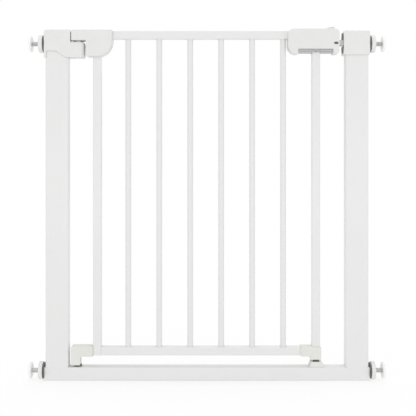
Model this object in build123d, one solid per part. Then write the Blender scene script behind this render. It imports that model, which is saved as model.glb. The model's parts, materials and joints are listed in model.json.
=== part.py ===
"""Pressure-mounted safety gate: a U-frame, a hinged barred door and its two-point latch.

Units are millimetres. X runs along the gate, Y through it (the door opens towards +Y) and Z is up.
The origin is on the floor, at the middle of the bottom rail.
"""

from build123d import *

import math
import os

# Fixed frame
FRAME_HALF = 354.0          # half of the width over the two posts
POST_WIDTH = 50.0
FRAME_DEPTH = 25.0
FRAME_WALL = 1.5
FRAME_CORNER = 2.5
RAIL_HEIGHT = 30.0
POST_TOP = 764.0
COVER = 3.0                 # plastic outside the posts and the rail's ends
COVER_HALF = FRAME_HALF + COVER
HOUSING_DEPTH = 33.0

# Pressure spindles
SPINDLE_TOP_Z = 740.4
SPINDLE_FOOT_Z = 20.3
ROD_RADIUS = 5.5
BUSH_BARREL_RADIUS = 7.0
BUSH_HOLE_RADIUS = 7.1
BUSH_FLANGE_RADIUS = 17.5
WHEEL_INNER = 361.0         # distances from the middle of the gate
WHEEL_OUTER = 369.8
WHEEL_RADIUS = 19.5
WHEEL_RIBS = 24
PAD_INNER = 386.0
PAD_OUTER = 388.3
PAD_FACE = 390.5
PAD_RADIUS = 18.0
ROD_SEAT = 1.5              # how deep the rod enters the pad cup
ROD_INNER = 325.0

# Door
TUBE = 18.0
TUBE_WALL = 1.2
TUBE_CORNER = 2.0
HINGE_STILE_X = -241.5      # tube centre lines
LATCH_STILE_X = 239.7
DOOR_FOOT_Z = 64.0
DOOR_TOP_Z = 759.3
BAR_RADIUS = 6.5
BAR_WALL = 0.9
BAR_COUNT = 6
BAR_PITCH = 68.3
FIRST_BAR_X = -173.7

# Hinge line
HINGE_X = -284.0
HINGE_PIN_RADIUS = 4.0
PIVOT_PIN_RADIUS = 4.0      # leaves 1.35 mm of wall in the foot's narrow leg
KNUCKLE_TOP = 743.5
ARM_BOTTOM = 746.7
RUNNING_FIT = 0.05          # radial clearance of a pin that turns

# Latch handle
HANDLE_LEFT = 177.3
HANDLE_RIGHT = 289.8
HANDLE_TOP = 772.0
HANDLE_LIP_Z = 717.2
HANDLE_MOUTH_Z = 727.8
HANDLE_DEPTH = 34.0
SHELL_WALL = 2.6
TRIGGER_LEFT = 200.5
TRIGGER_RIGHT = 275.6
TRIGGER_BOTTOM = 720.2
TRIGGER_TOP = 729.0
TRIGGER_DEPTH = 27.8
CROSS_PIN_Z = 724.5
BOLT_PIN_X = 271.0
BOLT_Z = 742.0
BOLT_HEIGHT = 12.0
BOLT_DEPTH = 16.0
BOLT_TIP = 303.5
RELEASE_LIFT = 7.0
BOLT_TRAVEL = 8.4
SPRING_X = 209.0

# Catch and floor striker
CATCH_LEFT = 299.2
FLOOR_BOLT_WIDTH = 12.0
FLOOR_BOLT_BOTTOM = 36.0
STRIKER_TOP = 41.5
STRIKER_PEGS = (LATCH_STILE_X - 11.0, LATCH_STILE_X + 11.0)
BOLT_CLEARANCE = 0.8        # above and below the bolt in the catch's slot
CATCH_SLOT_LOW = BOLT_Z - BOLT_HEIGHT / 2 - BOLT_CLEARANCE
CATCH_SLOT_HIGH = BOLT_Z + BOLT_HEIGHT / 2 + BOLT_CLEARANCE

# Screws of the door's shells, as (x, z)
HINGE_CAP_SCREWS = ((-257.8, 727), (-220, 741))
HANDLE_SCREWS = ((186.8, 739), (221.8, 743), (284, 757.5))

SIDES = {"left": -1.0, "right": 1.0}
LEVELS = {"upper": SPINDLE_TOP_Z, "lower": SPINDLE_FOOT_Z}


# ---------------------------------------------------------------------------
# Helpers
# ---------------------------------------------------------------------------
def block(x0, x1, y0, y1, z0, z1):
    """A box between two corners."""
    centre = Location(((x0 + x1) / 2, (y0 + y1) / 2, (z0 + z1) / 2))
    return centre * Box(abs(x1 - x0), abs(y1 - y0), abs(z1 - z0))


def cylinder_x(x0, x1, y, z, radius):
    """A cylinder along X."""
    centre = Location(((x0 + x1) / 2, y, z), (0, 90, 0))
    return centre * Cylinder(radius, abs(x1 - x0))


def cylinder_y(x, y0, y1, z, radius):
    """A cylinder along Y."""
    centre = Location((x, (y0 + y1) / 2, z), (90, 0, 0))
    return centre * Cylinder(radius, abs(y1 - y0))


def cylinder_z(x, y, z0, z1, radius):
    """A cylinder along Z."""
    centre = Location((x, y, (z0 + z1) / 2))
    return centre * Cylinder(radius, abs(z1 - z0))


def rounded_x(x0, x1, y_half, z0, z1, radius):
    """A prism along X with a rounded rectangular section centred on y = 0."""
    plane = Plane((x0, 0, (z0 + z1) / 2), x_dir=(0, 1, 0), z_dir=(1, 0, 0))
    return extrude(plane * RectangleRounded(2 * y_half, z1 - z0, radius), x1 - x0)


def rounded_z(x0, x1, y_half, z0, z1, radius):
    """A prism along Z with a rounded rectangular section centred on y = 0."""
    plane = Plane(((x0 + x1) / 2, 0, z0))
    return extrude(plane * RectangleRounded(x1 - x0, 2 * y_half, radius), z1 - z0)


def front_prism(corners, y0, y1):
    """Extrude an outline of (x, z, corner radius) triples between two depths."""
    plane = Plane((0, y1, 0), x_dir=(1, 0, 0), z_dir=(0, -1, 0))
    face = make_face(Polyline(*[(x, z) for x, z, _ in corners], close=True))
    for x, z, radius in corners:
        if radius > 0:
            corner = face.vertices().sort_by_distance(Vector(x, z, 0))[0]
            face = fillet(corner, radius)
    return extrude(plane * face, y1 - y0)


def soften(shape, y, radius):
    """Round the outline edges of the face that looks along Y at depth y."""
    face = shape.faces().filter_by(Axis.Y).sort_by_distance(Vector(face_anchor(shape, y)))[0]
    return fillet(face.edges(), radius)


def face_anchor(shape, y):
    """A point at depth y in front of the shape's centre."""
    centre = shape.bounding_box().center()
    return (centre.X, y, centre.Z)


def ring(outer, inner):
    """The outer solid with the inner one removed."""
    return outer - inner


def outward(shape, side):
    """Mirror a shape made for the right-hand end to the left when needed."""
    return shape if side > 0 else mirror(shape, about=Plane.YZ)


# ---------------------------------------------------------------------------
# Fixed frame
# ---------------------------------------------------------------------------
def post(side):
    """A rectangular tube that stands on the bottom rail, drilled for its upper spindle."""
    x0 = side * FRAME_HALF
    x1 = side * (FRAME_HALF - POST_WIDTH)
    low, high = min(x0, x1), max(x0, x1)
    half = FRAME_DEPTH / 2
    outer = rounded_z(low, high, half, RAIL_HEIGHT, POST_TOP, FRAME_CORNER)
    inner = rounded_z(low + FRAME_WALL, high - FRAME_WALL, half - FRAME_WALL, RAIL_HEIGHT, POST_TOP, 1.0)
    tube = ring(outer, inner)
    hole = side * (FRAME_HALF - 5)
    tube -= cylinder_x(hole, side * (FRAME_HALF + 5), 0, SPINDLE_TOP_Z, BUSH_HOLE_RADIUS)
    for x, z in housing_screw_spots(side):
        tube -= cylinder_y(x, half - 4, half + 4, z, 1.8)
    return tube


def bottom_rail():
    """The tube across the floor, drilled for the lower pivot and the striker's pegs."""
    half = FRAME_DEPTH / 2
    outer = rounded_x(-FRAME_HALF, FRAME_HALF, half, 0, RAIL_HEIGHT, FRAME_CORNER)
    inner = rounded_x(
        -FRAME_HALF, FRAME_HALF, half - FRAME_WALL, FRAME_WALL, RAIL_HEIGHT - FRAME_WALL, 1.0
    )
    tube = ring(outer, inner)
    tube -= cylinder_z(HINGE_X, 0, RAIL_HEIGHT - 5, RAIL_HEIGHT + 5, 6.6)
    for x in STRIKER_PEGS:
        tube -= cylinder_z(x, 0, RAIL_HEIGHT - 5, RAIL_HEIGHT + 5, 2.6)
    return tube


def rail_cap(side):
    """A flanged plug in the end of the bottom rail, bored for the lower spindle."""
    half = FRAME_DEPTH / 2
    flange = rounded_x(FRAME_HALF, COVER_HALF, half, 0, RAIL_HEIGHT, FRAME_CORNER)
    flange = fillet(flange.faces().sort_by(Axis.X)[-1].edges(), 0.8)
    inset = FRAME_WALL + 0.1
    plug = rounded_x(FRAME_HALF - 14, FRAME_HALF, half - inset, inset, RAIL_HEIGHT - inset, 1.0)
    cap = flange + plug
    cap -= cylinder_x(FRAME_HALF - 20, COVER_HALF + 5, 0, SPINDLE_FOOT_Z, BUSH_HOLE_RADIUS)
    return outward(cap, side)


def housing_screw_spots(side):
    """Where the screws of a housing enter the back of its post."""
    return [(side * 318, 731), (side * 340, 756)]


def housing_screw_holes(side):
    """Clearance holes and counterbores for the screws in a housing's back."""
    half = HOUSING_DEPTH / 2
    holes = []
    for x, z in housing_screw_spots(side):
        holes.append(cylinder_y(x, 8, half + 1, z, 1.8))
        holes.append(cylinder_y(x, half - 1.6, half + 1, z, 3.4))
    return holes


def hinge_housing():
    """The moulding over the left post's top, with the fixed lower knuckle of the hinge."""
    half = HOUSING_DEPTH / 2
    left = -COVER_HALF
    sleeve = front_prism(
        [
            (left, 770, 5),
            (-299.2, 770, 1),
            (-299.2, 710.8, 0),
            (-311, 710.8, 9),
            (-330, 724, 9),
            (-352, 724, 2),
            (-352, 709.5, 0),
            (left, 709.5, 1),
        ],
        -half,
        half,
    )
    sleeve = soften(sleeve, -half, 0.9)
    sleeve = soften(sleeve, half, 0.9)
    sleeve -= rounded_z(-354.1, -303.9, 12.6, 690, POST_TOP, FRAME_CORNER)
    sleeve -= cylinder_x(-375, -345, 0, SPINDLE_TOP_Z, BUSH_HOLE_RADIUS)
    knuckle = block(-303.8, -269.3, -half, half, 710.8, KNUCKLE_TOP)
    end = knuckle.edges().filter_by(Axis.Z).group_by(Axis.X)[-1]
    knuckle = fillet(end, 10)
    knuckle = fillet(knuckle.faces().sort_by(Axis.Z)[-1].edges().group_by(Axis.X)[-1], 2)
    knuckle = fillet(knuckle.faces().sort_by(Axis.Z)[0].edges().group_by(Axis.X)[-1], 2)
    housing = sleeve + knuckle
    housing -= cylinder_z(HINGE_X, 0, 713, 760, HINGE_PIN_RADIUS + 0.02)
    for hole in housing_screw_holes(-1):
        housing -= hole
    return housing


def hinge_pin():
    """The upper pin, with a collar in the gap under the door's arm."""
    pin = cylinder_z(HINGE_X, 0, 713, 764, HINGE_PIN_RADIUS)
    collar = cylinder_z(HINGE_X, 0, KNUCKLE_TOP, ARM_BOTTOM - 0.2, 9)
    return chamfer(pin.faces().sort_by(Axis.Z)[-1].edges(), 0.8) + collar


def pivot_bush():
    """The lower pivot's washer, with a barrel through the bottom rail's top wall."""
    washer = cylinder_z(HINGE_X, 0, RAIL_HEIGHT, 33.7, 8)
    barrel = cylinder_z(HINGE_X, 0, 16, RAIL_HEIGHT, 6.5)
    return ring(washer + barrel, cylinder_z(HINGE_X, 0, 10, 40, PIVOT_PIN_RADIUS + 0.02))


def pivot_pin():
    """The lower pin, pressed into the bush."""
    pin = cylinder_z(HINGE_X, 0, 16, 58, PIVOT_PIN_RADIUS)
    return chamfer(pin.faces().sort_by(Axis.Z)[-1].edges(), 1.0)


def catch_housing():
    """The moulding over the right post's top, with a mouth that the latch bolt enters."""
    half = HOUSING_DEPTH / 2
    outline = [
        (CATCH_LEFT, 715, 3),
        (CATCH_LEFT, 767.8, 3),
        (COVER_HALF, 767.8, 4),
        (COVER_HALF, 715, 3),
    ]
    housing = front_prism(outline, -half, half)
    housing = soften(housing, -half, 1.2)
    housing = soften(housing, half, 1.2)
    housing -= rounded_z(303.9, 354.1, 12.6, 700, POST_TOP, FRAME_CORNER)
    housing -= cylinder_x(345, 375, 0, SPINDLE_TOP_Z, BUSH_HOLE_RADIUS)
    housing -= rounded_x(CATCH_LEFT - 1, 304, 14.8, 718.4, 764.4, 13)
    housing -= block(CATCH_LEFT - 1, 303.9, 5, half + 1, CATCH_SLOT_LOW, CATCH_SLOT_HIGH)
    for hole in housing_screw_holes(1):
        housing -= hole
    return housing


def catch_insert():
    """The dark lining of the catch's mouth, open towards the side that the door swings to."""
    lining = rounded_x(CATCH_LEFT + 0.8, 303.9, 14.7, 718.5, 764.3, 12.9)
    lining -= block(CATCH_LEFT, 304, -9, 15, CATCH_SLOT_LOW, CATCH_SLOT_HIGH)
    return lining


def floor_striker():
    """The wedge on the bottom rail that the floor bolt drops into."""
    outline = [
        (224.5, RAIL_HEIGHT, 0),
        (229, STRIKER_TOP, 1),
        (250.7, STRIKER_TOP, 2),
        (259, RAIL_HEIGHT, 0),
    ]
    wedge = front_prism(outline, -11.5, 11.5)
    half_slot = FLOOR_BOLT_WIDTH / 2 + 1.3
    wedge -= block(LATCH_STILE_X - half_slot, LATCH_STILE_X + half_slot, -8, 13, 33, 45)
    for x in STRIKER_PEGS:
        wedge += cylinder_z(x, 0, 24, 31, 2.5)
    return wedge


def housing_screws():
    """The four screws that hold the two housings on the posts."""
    screws = []
    for side in SIDES.values():
        for x, z in housing_screw_spots(side):
            screws.append(screw(x, HOUSING_DEPTH / 2 - 1.6, z, 9.5, 1.75, 3.2))
    return Compound(children=screws)


def screw(x, seat, z, length, radius, head_radius):
    """A pan-head screw that enters from the back, with a cross recess in its head."""
    shank = cylinder_y(x, seat - length, seat, z, radius)
    head = cylinder_y(x, seat, seat + 1.5, z, head_radius)
    head = fillet(head.faces().sort_by(Axis.Y)[-1].edges(), 0.5)
    recess = block(x - 1.7, x + 1.7, seat + 0.7, seat + 2, z - 0.35, z + 0.35)
    recess += block(x - 0.35, x + 0.35, seat + 0.7, seat + 2, z - 1.7, z + 1.7)
    return shank + head - recess


# ---------------------------------------------------------------------------
# Pressure spindles
# ---------------------------------------------------------------------------
def spindle_bush(side, z):
    """A dark flanged bush that guides the rod in the frame."""
    flange = cylinder_x(COVER_HALF, WHEEL_INNER - 0.3, 0, z, BUSH_FLANGE_RADIUS)
    flange = chamfer(flange.faces().sort_by(Axis.X)[-1].edges(), 1.2)
    barrel = cylinder_x(345, COVER_HALF, 0, z, BUSH_BARREL_RADIUS)
    bush = ring(flange + barrel, cylinder_x(340, 370, 0, z, ROD_RADIUS + 0.5))
    return outward(bush, side)


def spindle_rod(side, z):
    """The threaded rod, as its crest cylinder."""
    rod = cylinder_x(ROD_INNER, PAD_INNER + ROD_SEAT, 0, z, ROD_RADIUS)
    rod = chamfer(rod.faces().sort_by(Axis.X)[0].edges(), 1.0)
    return outward(rod, side)


def hand_wheel(side, z):
    """The nut that is turned by hand, with a ribbed rim."""
    wheel = cylinder_x(WHEEL_INNER, WHEEL_OUTER, 0, z, WHEEL_RADIUS)
    wheel = chamfer(wheel.edges().filter_by(GeomType.CIRCLE), 1.0)
    for index in range(WHEEL_RIBS):
        angle = 2 * math.pi * (index + 0.5) / WHEEL_RIBS
        y = (WHEEL_RADIUS + 0.5) * math.cos(angle)
        rise = (WHEEL_RADIUS + 0.5) * math.sin(angle)
        wheel -= cylinder_x(WHEEL_INNER - 1, WHEEL_OUTER + 1, y, z + rise, 1.5)
    wheel -= cylinder_x(WHEEL_INNER - 1, WHEEL_OUTER + 1, 0, z, ROD_RADIUS + RUNNING_FIT)
    return outward(wheel, side)


def pad_cup(side, z):
    """The disc on the end of the rod that carries the rubber."""
    cup = cylinder_x(PAD_INNER, PAD_OUTER, 0, z, PAD_RADIUS)
    cup = fillet(cup.faces().sort_by(Axis.X)[0].edges(), 1.6)
    cup -= cylinder_x(PAD_INNER - 1, PAD_INNER + ROD_SEAT, 0, z, ROD_RADIUS + 0.02)
    return outward(cup, side)


def pad_rubber(side, z):
    """The rubber face that presses on the wall."""
    rubber = cylinder_x(PAD_OUTER, PAD_FACE, 0, z, PAD_RADIUS)
    rubber = fillet(rubber.faces().sort_by(Axis.X)[-1].edges(), 1.2)
    return outward(rubber, side)


# ---------------------------------------------------------------------------
# Door
# ---------------------------------------------------------------------------
def bar_positions():
    """The centre lines of the round bars."""
    return [FIRST_BAR_X + index * BAR_PITCH for index in range(BAR_COUNT)]


def door_rail(centre_z, inner_side):
    """A square tube between the stiles, drilled on its inner side for the bars."""
    half = TUBE / 2
    left = HINGE_STILE_X + half
    right = LATCH_STILE_X - half
    outer = rounded_x(left, right, half, centre_z - half, centre_z + half, TUBE_CORNER)
    bore = half - TUBE_WALL
    inner = rounded_x(left, right, bore, centre_z - bore, centre_z + bore, 0.8)
    tube = ring(outer, inner)
    for x in bar_positions():
        edge = centre_z + inner_side * half
        tube -= cylinder_z(x, 0, edge - 4, edge + 4, BAR_RADIUS + 0.05)
    return tube


def stile(x):
    """A square tube at one end of the door."""
    half = TUBE / 2
    bore = half - TUBE_WALL
    bottom = DOOR_FOOT_Z - half
    top = DOOR_TOP_Z + half
    outer = rounded_z(x - half, x + half, half, bottom, top, TUBE_CORNER)
    inner = rounded_z(x - bore, x + bore, bore, bottom, top, 0.8)
    return ring(outer, inner)


def hinge_stile():
    """The stile by the hinge, pierced for the pivot foot's tongue."""
    tongue = block(-260, -225, -7.1, 7.1, DOOR_FOOT_Z - 7.1, DOOR_FOOT_Z + 7.1)
    return stile(HINGE_STILE_X) - tongue


def latch_stile():
    """The stile by the catch, slotted for the cross pin of the release."""
    low = CROSS_PIN_Z - 3
    high = CROSS_PIN_Z + RELEASE_LIFT + 3
    slot = block(LATCH_STILE_X - 2.5, LATCH_STILE_X + 2.5, -12, 12, low, high)
    return stile(LATCH_STILE_X) - slot


def door_bar(x):
    """A round thin-walled bar let into both door rails."""
    half = TUBE / 2
    low = DOOR_FOOT_Z + half - TUBE_WALL
    high = DOOR_TOP_Z - half + TUBE_WALL
    return ring(
        cylinder_z(x, 0, low, high, BAR_RADIUS), cylinder_z(x, 0, low, high, BAR_RADIUS - BAR_WALL)
    )


def hinge_cap_block():
    """Both halves of the door's hinge cap as one block, before the split."""
    half = HOUSING_DEPTH / 2
    outline = [
        (-297.2, 770, 4),
        (-208, 770, 1.5),
        (-208, 711.8, 35),
        (-265, 711.8, 3),
        (-265, ARM_BOTTOM, 0),
        (-297.2, ARM_BOTTOM, 1.5),
    ]
    cap = front_prism(outline, -half, half)
    cap = soften(cap, -half, 1.4)
    cap = soften(cap, half, 1.4)
    cap -= rounded_z(-250.6, -232.4, 9.1, 700, 768.4, TUBE_CORNER)
    cap -= rounded_x(-240, -200, 9.1, 750.2, 768.4, TUBE_CORNER)
    cap -= block(-230.5, -211, -13.5, 13.5, 734, 749)
    cap += cylinder_y(-220, -13.5, 13.5, 741, 3.6)
    return cap


def hinge_cap_front():
    """The front shell of the hinge cap, with the whole arm that turns on the upper pin."""
    cap = hinge_cap_block()
    rear_half = block(-262, -200, 0, 20, 700, 780)
    cap -= rear_half
    sweep = block(-300, -262, 0, 20, 700, 780)
    barrel = cylinder_z(HINGE_X, 0, 700, 780, 14.5)
    keep = (barrel & block(-297.2, HINGE_X, 0, 15, 700, 780)) + block(HINGE_X, -262, 0, 14.5, 700, 780)
    cap -= sweep - keep
    cap -= cylinder_z(HINGE_X, 0, 740, 765, HINGE_PIN_RADIUS + RUNNING_FIT)
    for x, z in HINGE_CAP_SCREWS:
        cap -= cylinder_y(x, -11, 1, z, 1.52)
    return cap


def hinge_cap_back():
    """The back shell of the hinge cap."""
    cap = hinge_cap_block() & block(-262, -200, 0, 20, 700, 780)
    for x, z in HINGE_CAP_SCREWS:
        cap -= screw_passage(x, HOUSING_DEPTH / 2, z)
    return cap


def screw_passage(x, back, z):
    """The through hole and counterbore for a shell screw."""
    through = cylinder_y(x, -1, back + 1, z, 1.7)
    return through + cylinder_y(x, back - 2.0, back + 1, z, 3.1)


def pivot_foot():
    """The moulding at the door's lower hinge corner that turns on the lower pin."""
    outline = [
        (-298.5, 34, 2),
        (-298.5, 75, 3),
        (-250.5, 75, 0),
        (-250.5, 52.7, 0),
        (-278.6, 52.7, 5),
        (-278.6, 34, 0.6),
    ]
    foot = front_prism(outline, -11, 11)
    foot = soften(foot, -11, 1.0)
    foot = soften(foot, 11, 1.0)
    foot += block(-251, -214, -7, 7, DOOR_FOOT_Z - 7, DOOR_FOOT_Z + 7)
    foot -= cylinder_z(HINGE_X, 0, 30, 60, PIVOT_PIN_RADIUS + RUNNING_FIT)
    return foot


def latch_foot_block():
    """Both halves of the elbow at the door's lower latch corner, before the split."""
    outline = [
        (205.5, 53.4, 1),
        (205.5, 74.2, 1),
        (250.6, 74.2, 2.5),
        (250.6, 46.4, 1.5),
        (227, 46.4, 1.5),
        (227, 53.4, 2),
    ]
    foot = front_prism(outline, -11.5, 11.5)
    foot = soften(foot, -11.5, 0.8)
    foot = soften(foot, 11.5, 0.8)
    half = TUBE / 2 + 0.1
    foot -= rounded_z(LATCH_STILE_X - half, LATCH_STILE_X + half, half, 54.9, 80, TUBE_CORNER)
    foot -= rounded_x(200, LATCH_STILE_X, half, DOOR_FOOT_Z - half, DOOR_FOOT_Z + half, TUBE_CORNER)
    guide = FLOOR_BOLT_WIDTH / 2 + 0.3
    foot -= block(LATCH_STILE_X - guide, LATCH_STILE_X + guide, -guide, guide, 40, 56)
    return foot


def latch_foot_front():
    """The front shell of the elbow."""
    return latch_foot_block() & block(200, 260, -20, 0, 40, 80)


def latch_foot_back():
    """The back shell of the elbow."""
    return latch_foot_block() & block(200, 260, 0, 20, 40, 80)


# ---------------------------------------------------------------------------
# Latch handle
# ---------------------------------------------------------------------------
def handle_block():
    """Both halves of the handle housing as one hollow block, before the split."""
    half = HANDLE_DEPTH / 2
    outline = [
        (HANDLE_LEFT, HANDLE_TOP, 13),
        (HANDLE_RIGHT, HANDLE_TOP, 8.5),
        (HANDLE_RIGHT, HANDLE_LIP_Z, 6.5),
        (276.2, HANDLE_LIP_Z, 2),
        (276.2, HANDLE_MOUTH_Z, 1),
        (199.9, HANDLE_MOUTH_Z, 1),
        (199.9, HANDLE_LIP_Z, 1.2),
        (HANDLE_LEFT, HANDLE_LIP_Z, 19.5),
    ]
    housing = front_prism(outline, -half, half)
    housing = soften(housing, -half, 1.1)
    housing = soften(housing, half, 1.1)
    bore = half - SHELL_WALL
    housing -= front_prism(
        [
            (HANDLE_LEFT + SHELL_WALL, HANDLE_TOP - SHELL_WALL, 11),
            (HANDLE_RIGHT - SHELL_WALL, HANDLE_TOP - SHELL_WALL, 6),
            (HANDLE_RIGHT - SHELL_WALL, 724.7, 2),
            (276.1, 724.7, 0),
            (276.1, 700, 0),
            (200, 700, 0),
            (200, 724.7, 0),
            (HANDLE_LEFT + SHELL_WALL, 724.7, 8),
        ],
        -bore,
        bore,
    )
    for x, z in HANDLE_SCREWS:
        housing += cylinder_y(x, -bore, bore, z, 3.5)
    return housing


def handle_openings():
    """The holes in the handle for the top rail, the latch bolt and the thumb slider."""
    half = TUBE / 2 + 0.1
    rail_hole = rounded_x(170, 195, half, DOOR_TOP_Z - half, DOOR_TOP_Z + half, TUBE_CORNER)
    bolt_half = BOLT_HEIGHT / 2 + 0.4
    bolt_hole = block(
        284, 293, -BOLT_DEPTH / 2 - 0.4, BOLT_DEPTH / 2 + 0.4, BOLT_Z - bolt_half, BOLT_Z + bolt_half
    )
    slider_hole = block(254.4, 276.6, -3.4, 3.4, 765, 775)
    return [rail_hole, bolt_hole, slider_hole]


def handle_front():
    """The front shell of the handle, with the indicator's slot."""
    shell = handle_block() & block(170, 300, -20, 0, 700, 780)
    for hole in handle_openings():
        shell -= hole
    for x, z in HANDLE_SCREWS:
        shell -= cylinder_y(x, -12, 1, z, 1.52)
    shell -= indicator_solid(4.9, 2.7, -18, -13)
    return shell


def handle_back():
    """The back shell of the handle, with its screw passages."""
    shell = handle_block() & block(170, 300, 0, 20, 700, 780)
    for hole in handle_openings():
        shell -= hole
    for x, z in HANDLE_SCREWS:
        shell -= screw_passage(x, HANDLE_DEPTH / 2, z)
    return shell


def indicator_solid(half_length, half_height, y0, y1):
    """A round-ended prism at the indicator's place."""
    plane = Plane((282.6, y1, 740.5), x_dir=(1, 0, 0), z_dir=(0, -1, 0))
    return extrude(plane * SlotOverall(2 * half_length, 2 * half_height), y1 - y0)


def indicator_window():
    """The small dark window that shows whether the bolt is home."""
    return indicator_solid(4.8, 2.6, -16.6, -14.4)


def door_screws():
    """The screws that close the door's plastic shells."""
    screws = []
    for x, z in HINGE_CAP_SCREWS:
        screws.append(screw(x, HOUSING_DEPTH / 2 - 2.0, z, 24, 1.5, 2.9))
    for x, z in HANDLE_SCREWS:
        screws.append(screw(x, HANDLE_DEPTH / 2 - 2.0, z, 24, 1.5, 2.9))
    return Compound(children=screws)


def trigger_bar():
    """The bar squeezed upwards under the handle, with its cam plate and end wings."""
    half = TRIGGER_DEPTH / 2
    bar = block(TRIGGER_LEFT, TRIGGER_RIGHT, -half, half, TRIGGER_BOTTOM, TRIGGER_TOP)
    bar = fillet(bar.faces().sort_by(Axis.Z)[0].edges(), 1.6)
    gap = TUBE / 2 + 0.8
    bar -= block(LATCH_STILE_X - gap, LATCH_STILE_X + gap, -gap, gap, 710, 740)
    pocket_floor = TRIGGER_BOTTOM + 3
    bar -= block(TRIGGER_LEFT + 3, 226, -half + 2.5, half - 2.5, pocket_floor, 740)
    bar -= block(253, TRIGGER_RIGHT - 3, -half + 2.5, half - 2.5, pocket_floor, 740)
    bar += block(194.5, TRIGGER_LEFT + 1, -8, 8, 725, TRIGGER_TOP)
    bar += block(TRIGGER_RIGHT - 1, 281, -8, 8, 725, TRIGGER_TOP)
    bar += cylinder_z(SPRING_X, 0, TRIGGER_BOTTOM + 2, 732, 2.5)
    for x in (231.5, 247.9):
        bar -= block(x - 0.5, x + 0.5, -half - 1, -half + 0.8, 710, 740)
    plate = block(254.5, 275, -2.5, 2.5, TRIGGER_BOTTOM + 2, 747)
    slot_end = (BOLT_PIN_X - BOLT_TRAVEL, BOLT_Z - RELEASE_LIFT)
    plate -= cam_slot((BOLT_PIN_X, BOLT_Z), slot_end)
    bar += plate
    bar -= cylinder_y(LATCH_STILE_X, -15, 15, CROSS_PIN_Z, 2.02)
    return bar


def cam_slot(start, end):
    """The slanted slot that turns the trigger's lift into the bolt's travel."""
    plane = Plane((0, 4, 0), x_dir=(1, 0, 0), z_dir=(0, -1, 0))
    middle = ((start[0] + end[0]) / 2, (start[1] + end[1]) / 2)
    length = math.dist(start, end)
    angle = math.degrees(math.atan2(end[1] - start[1], end[0] - start[0]))
    slot = Location((middle[0], middle[1], 0), (0, 0, angle)) * SlotCenterToCenter(length, 4.7)
    return extrude(plane * slot, 8)


def cross_pin():
    """The pin that joins the trigger to the pull rod through the stile's slots."""
    return cylinder_y(LATCH_STILE_X, -13.2, 13.2, CROSS_PIN_Z, 2)


def pull_rod():
    """The rod inside the stile that lifts the floor bolt."""
    rod = cylinder_z(LATCH_STILE_X, 0, 50, 720, 3)
    head = cylinder_z(LATCH_STILE_X, 0, 718, 731, 4.5)
    return ring(rod + head, cylinder_y(LATCH_STILE_X, -6, 6, CROSS_PIN_Z, 2.02))


def floor_bolt():
    """The square bolt at the stile's foot."""
    half = FLOOR_BOLT_WIDTH / 2
    bolt = block(
        LATCH_STILE_X - half, LATCH_STILE_X + half, -half, half, FLOOR_BOLT_BOTTOM, 64
    )
    bolt = chamfer(bolt.faces().sort_by(Axis.Z)[0].edges(), 1.2)
    return bolt - cylinder_z(LATCH_STILE_X, 0, 50, 70, 3.02)


def release_spring():
    """The spring between the trigger and the top rail."""
    low = TRIGGER_BOTTOM + 3
    high = DOOR_TOP_Z - TUBE / 2
    wire = 0.6
    turns = 8
    pitch = (high - low - 2 * wire) / turns
    path = Helix(pitch, high - low - 2 * wire, 4.2, center=(SPRING_X, 0, low + wire))
    section = Plane(path @ 0, z_dir=path % 0) * Circle(wire)
    return sweep(section, path=path, is_frenet=True)


def latch_bolt():
    """The bolt that the cam pushes into the catch, with its forked tail and pin."""
    half = BOLT_DEPTH / 2
    low = BOLT_Z - BOLT_HEIGHT / 2
    high = BOLT_Z + BOLT_HEIGHT / 2
    bolt = block(265.5, BOLT_TIP, -half, half, low, high)
    nose = bolt.faces().sort_by(Axis.X)[-1].edges().filter_by(Axis.Z)
    bolt = fillet(nose, 2)
    bolt -= block(260, 284.5, -3.1, 3.1, low - 1, high + 1)
    bolt += cylinder_y(BOLT_PIN_X, -half, half, BOLT_Z, 2)
    return bolt


def thumb_slider():
    """The slider on the handle's top, with a neck and a retaining plate inside."""
    wedge = front_prism(
        [(255, 772.3, 0), (255.6, 773, 0), (280.4, 777.3, 0.8), (281, 772.3, 0)], -6.5, 6.5
    )
    for x in (271.5, 274, 276.5):
        wedge -= block(x - 0.5, x + 0.5, -7, 7, 775.2, 779)
    neck = block(260, 276, -3, 3, 769, 772.6)
    plate = block(256.5, 278, -6, 6, 766.4, 769.1)
    return wedge + neck + plate


# ---------------------------------------------------------------------------
# Assembly
# ---------------------------------------------------------------------------
def frame_parts():
    """Every piece of the fixed frame."""
    return {
        "left_post": post(-1),
        "right_post": post(1),
        "bottom_rail": bottom_rail(),
        "left_rail_cap": rail_cap(-1),
        "right_rail_cap": rail_cap(1),
        "hinge_housing": hinge_housing(),
        "hinge_pin": hinge_pin(),
        "pivot_bush": pivot_bush(),
        "pivot_pin": pivot_pin(),
        "catch_housing": catch_housing(),
        "catch_insert": catch_insert(),
        "floor_striker": floor_striker(),
        "housing_screws": housing_screws(),
    }


def spindle_parts():
    """The bush, rod, wheel, pad and rubber in each corner."""
    parts = {}
    for level, z in LEVELS.items():
        for name, side in SIDES.items():
            corner = f"{level}_{name}"
            parts[f"{corner}_bush"] = spindle_bush(side, z)
            parts[f"{corner}_rod"] = spindle_rod(side, z)
            parts[f"{corner}_wheel"] = hand_wheel(side, z)
            parts[f"{corner}_pad_cup"] = pad_cup(side, z)
            parts[f"{corner}_pad_rubber"] = pad_rubber(side, z)
    return parts


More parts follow.
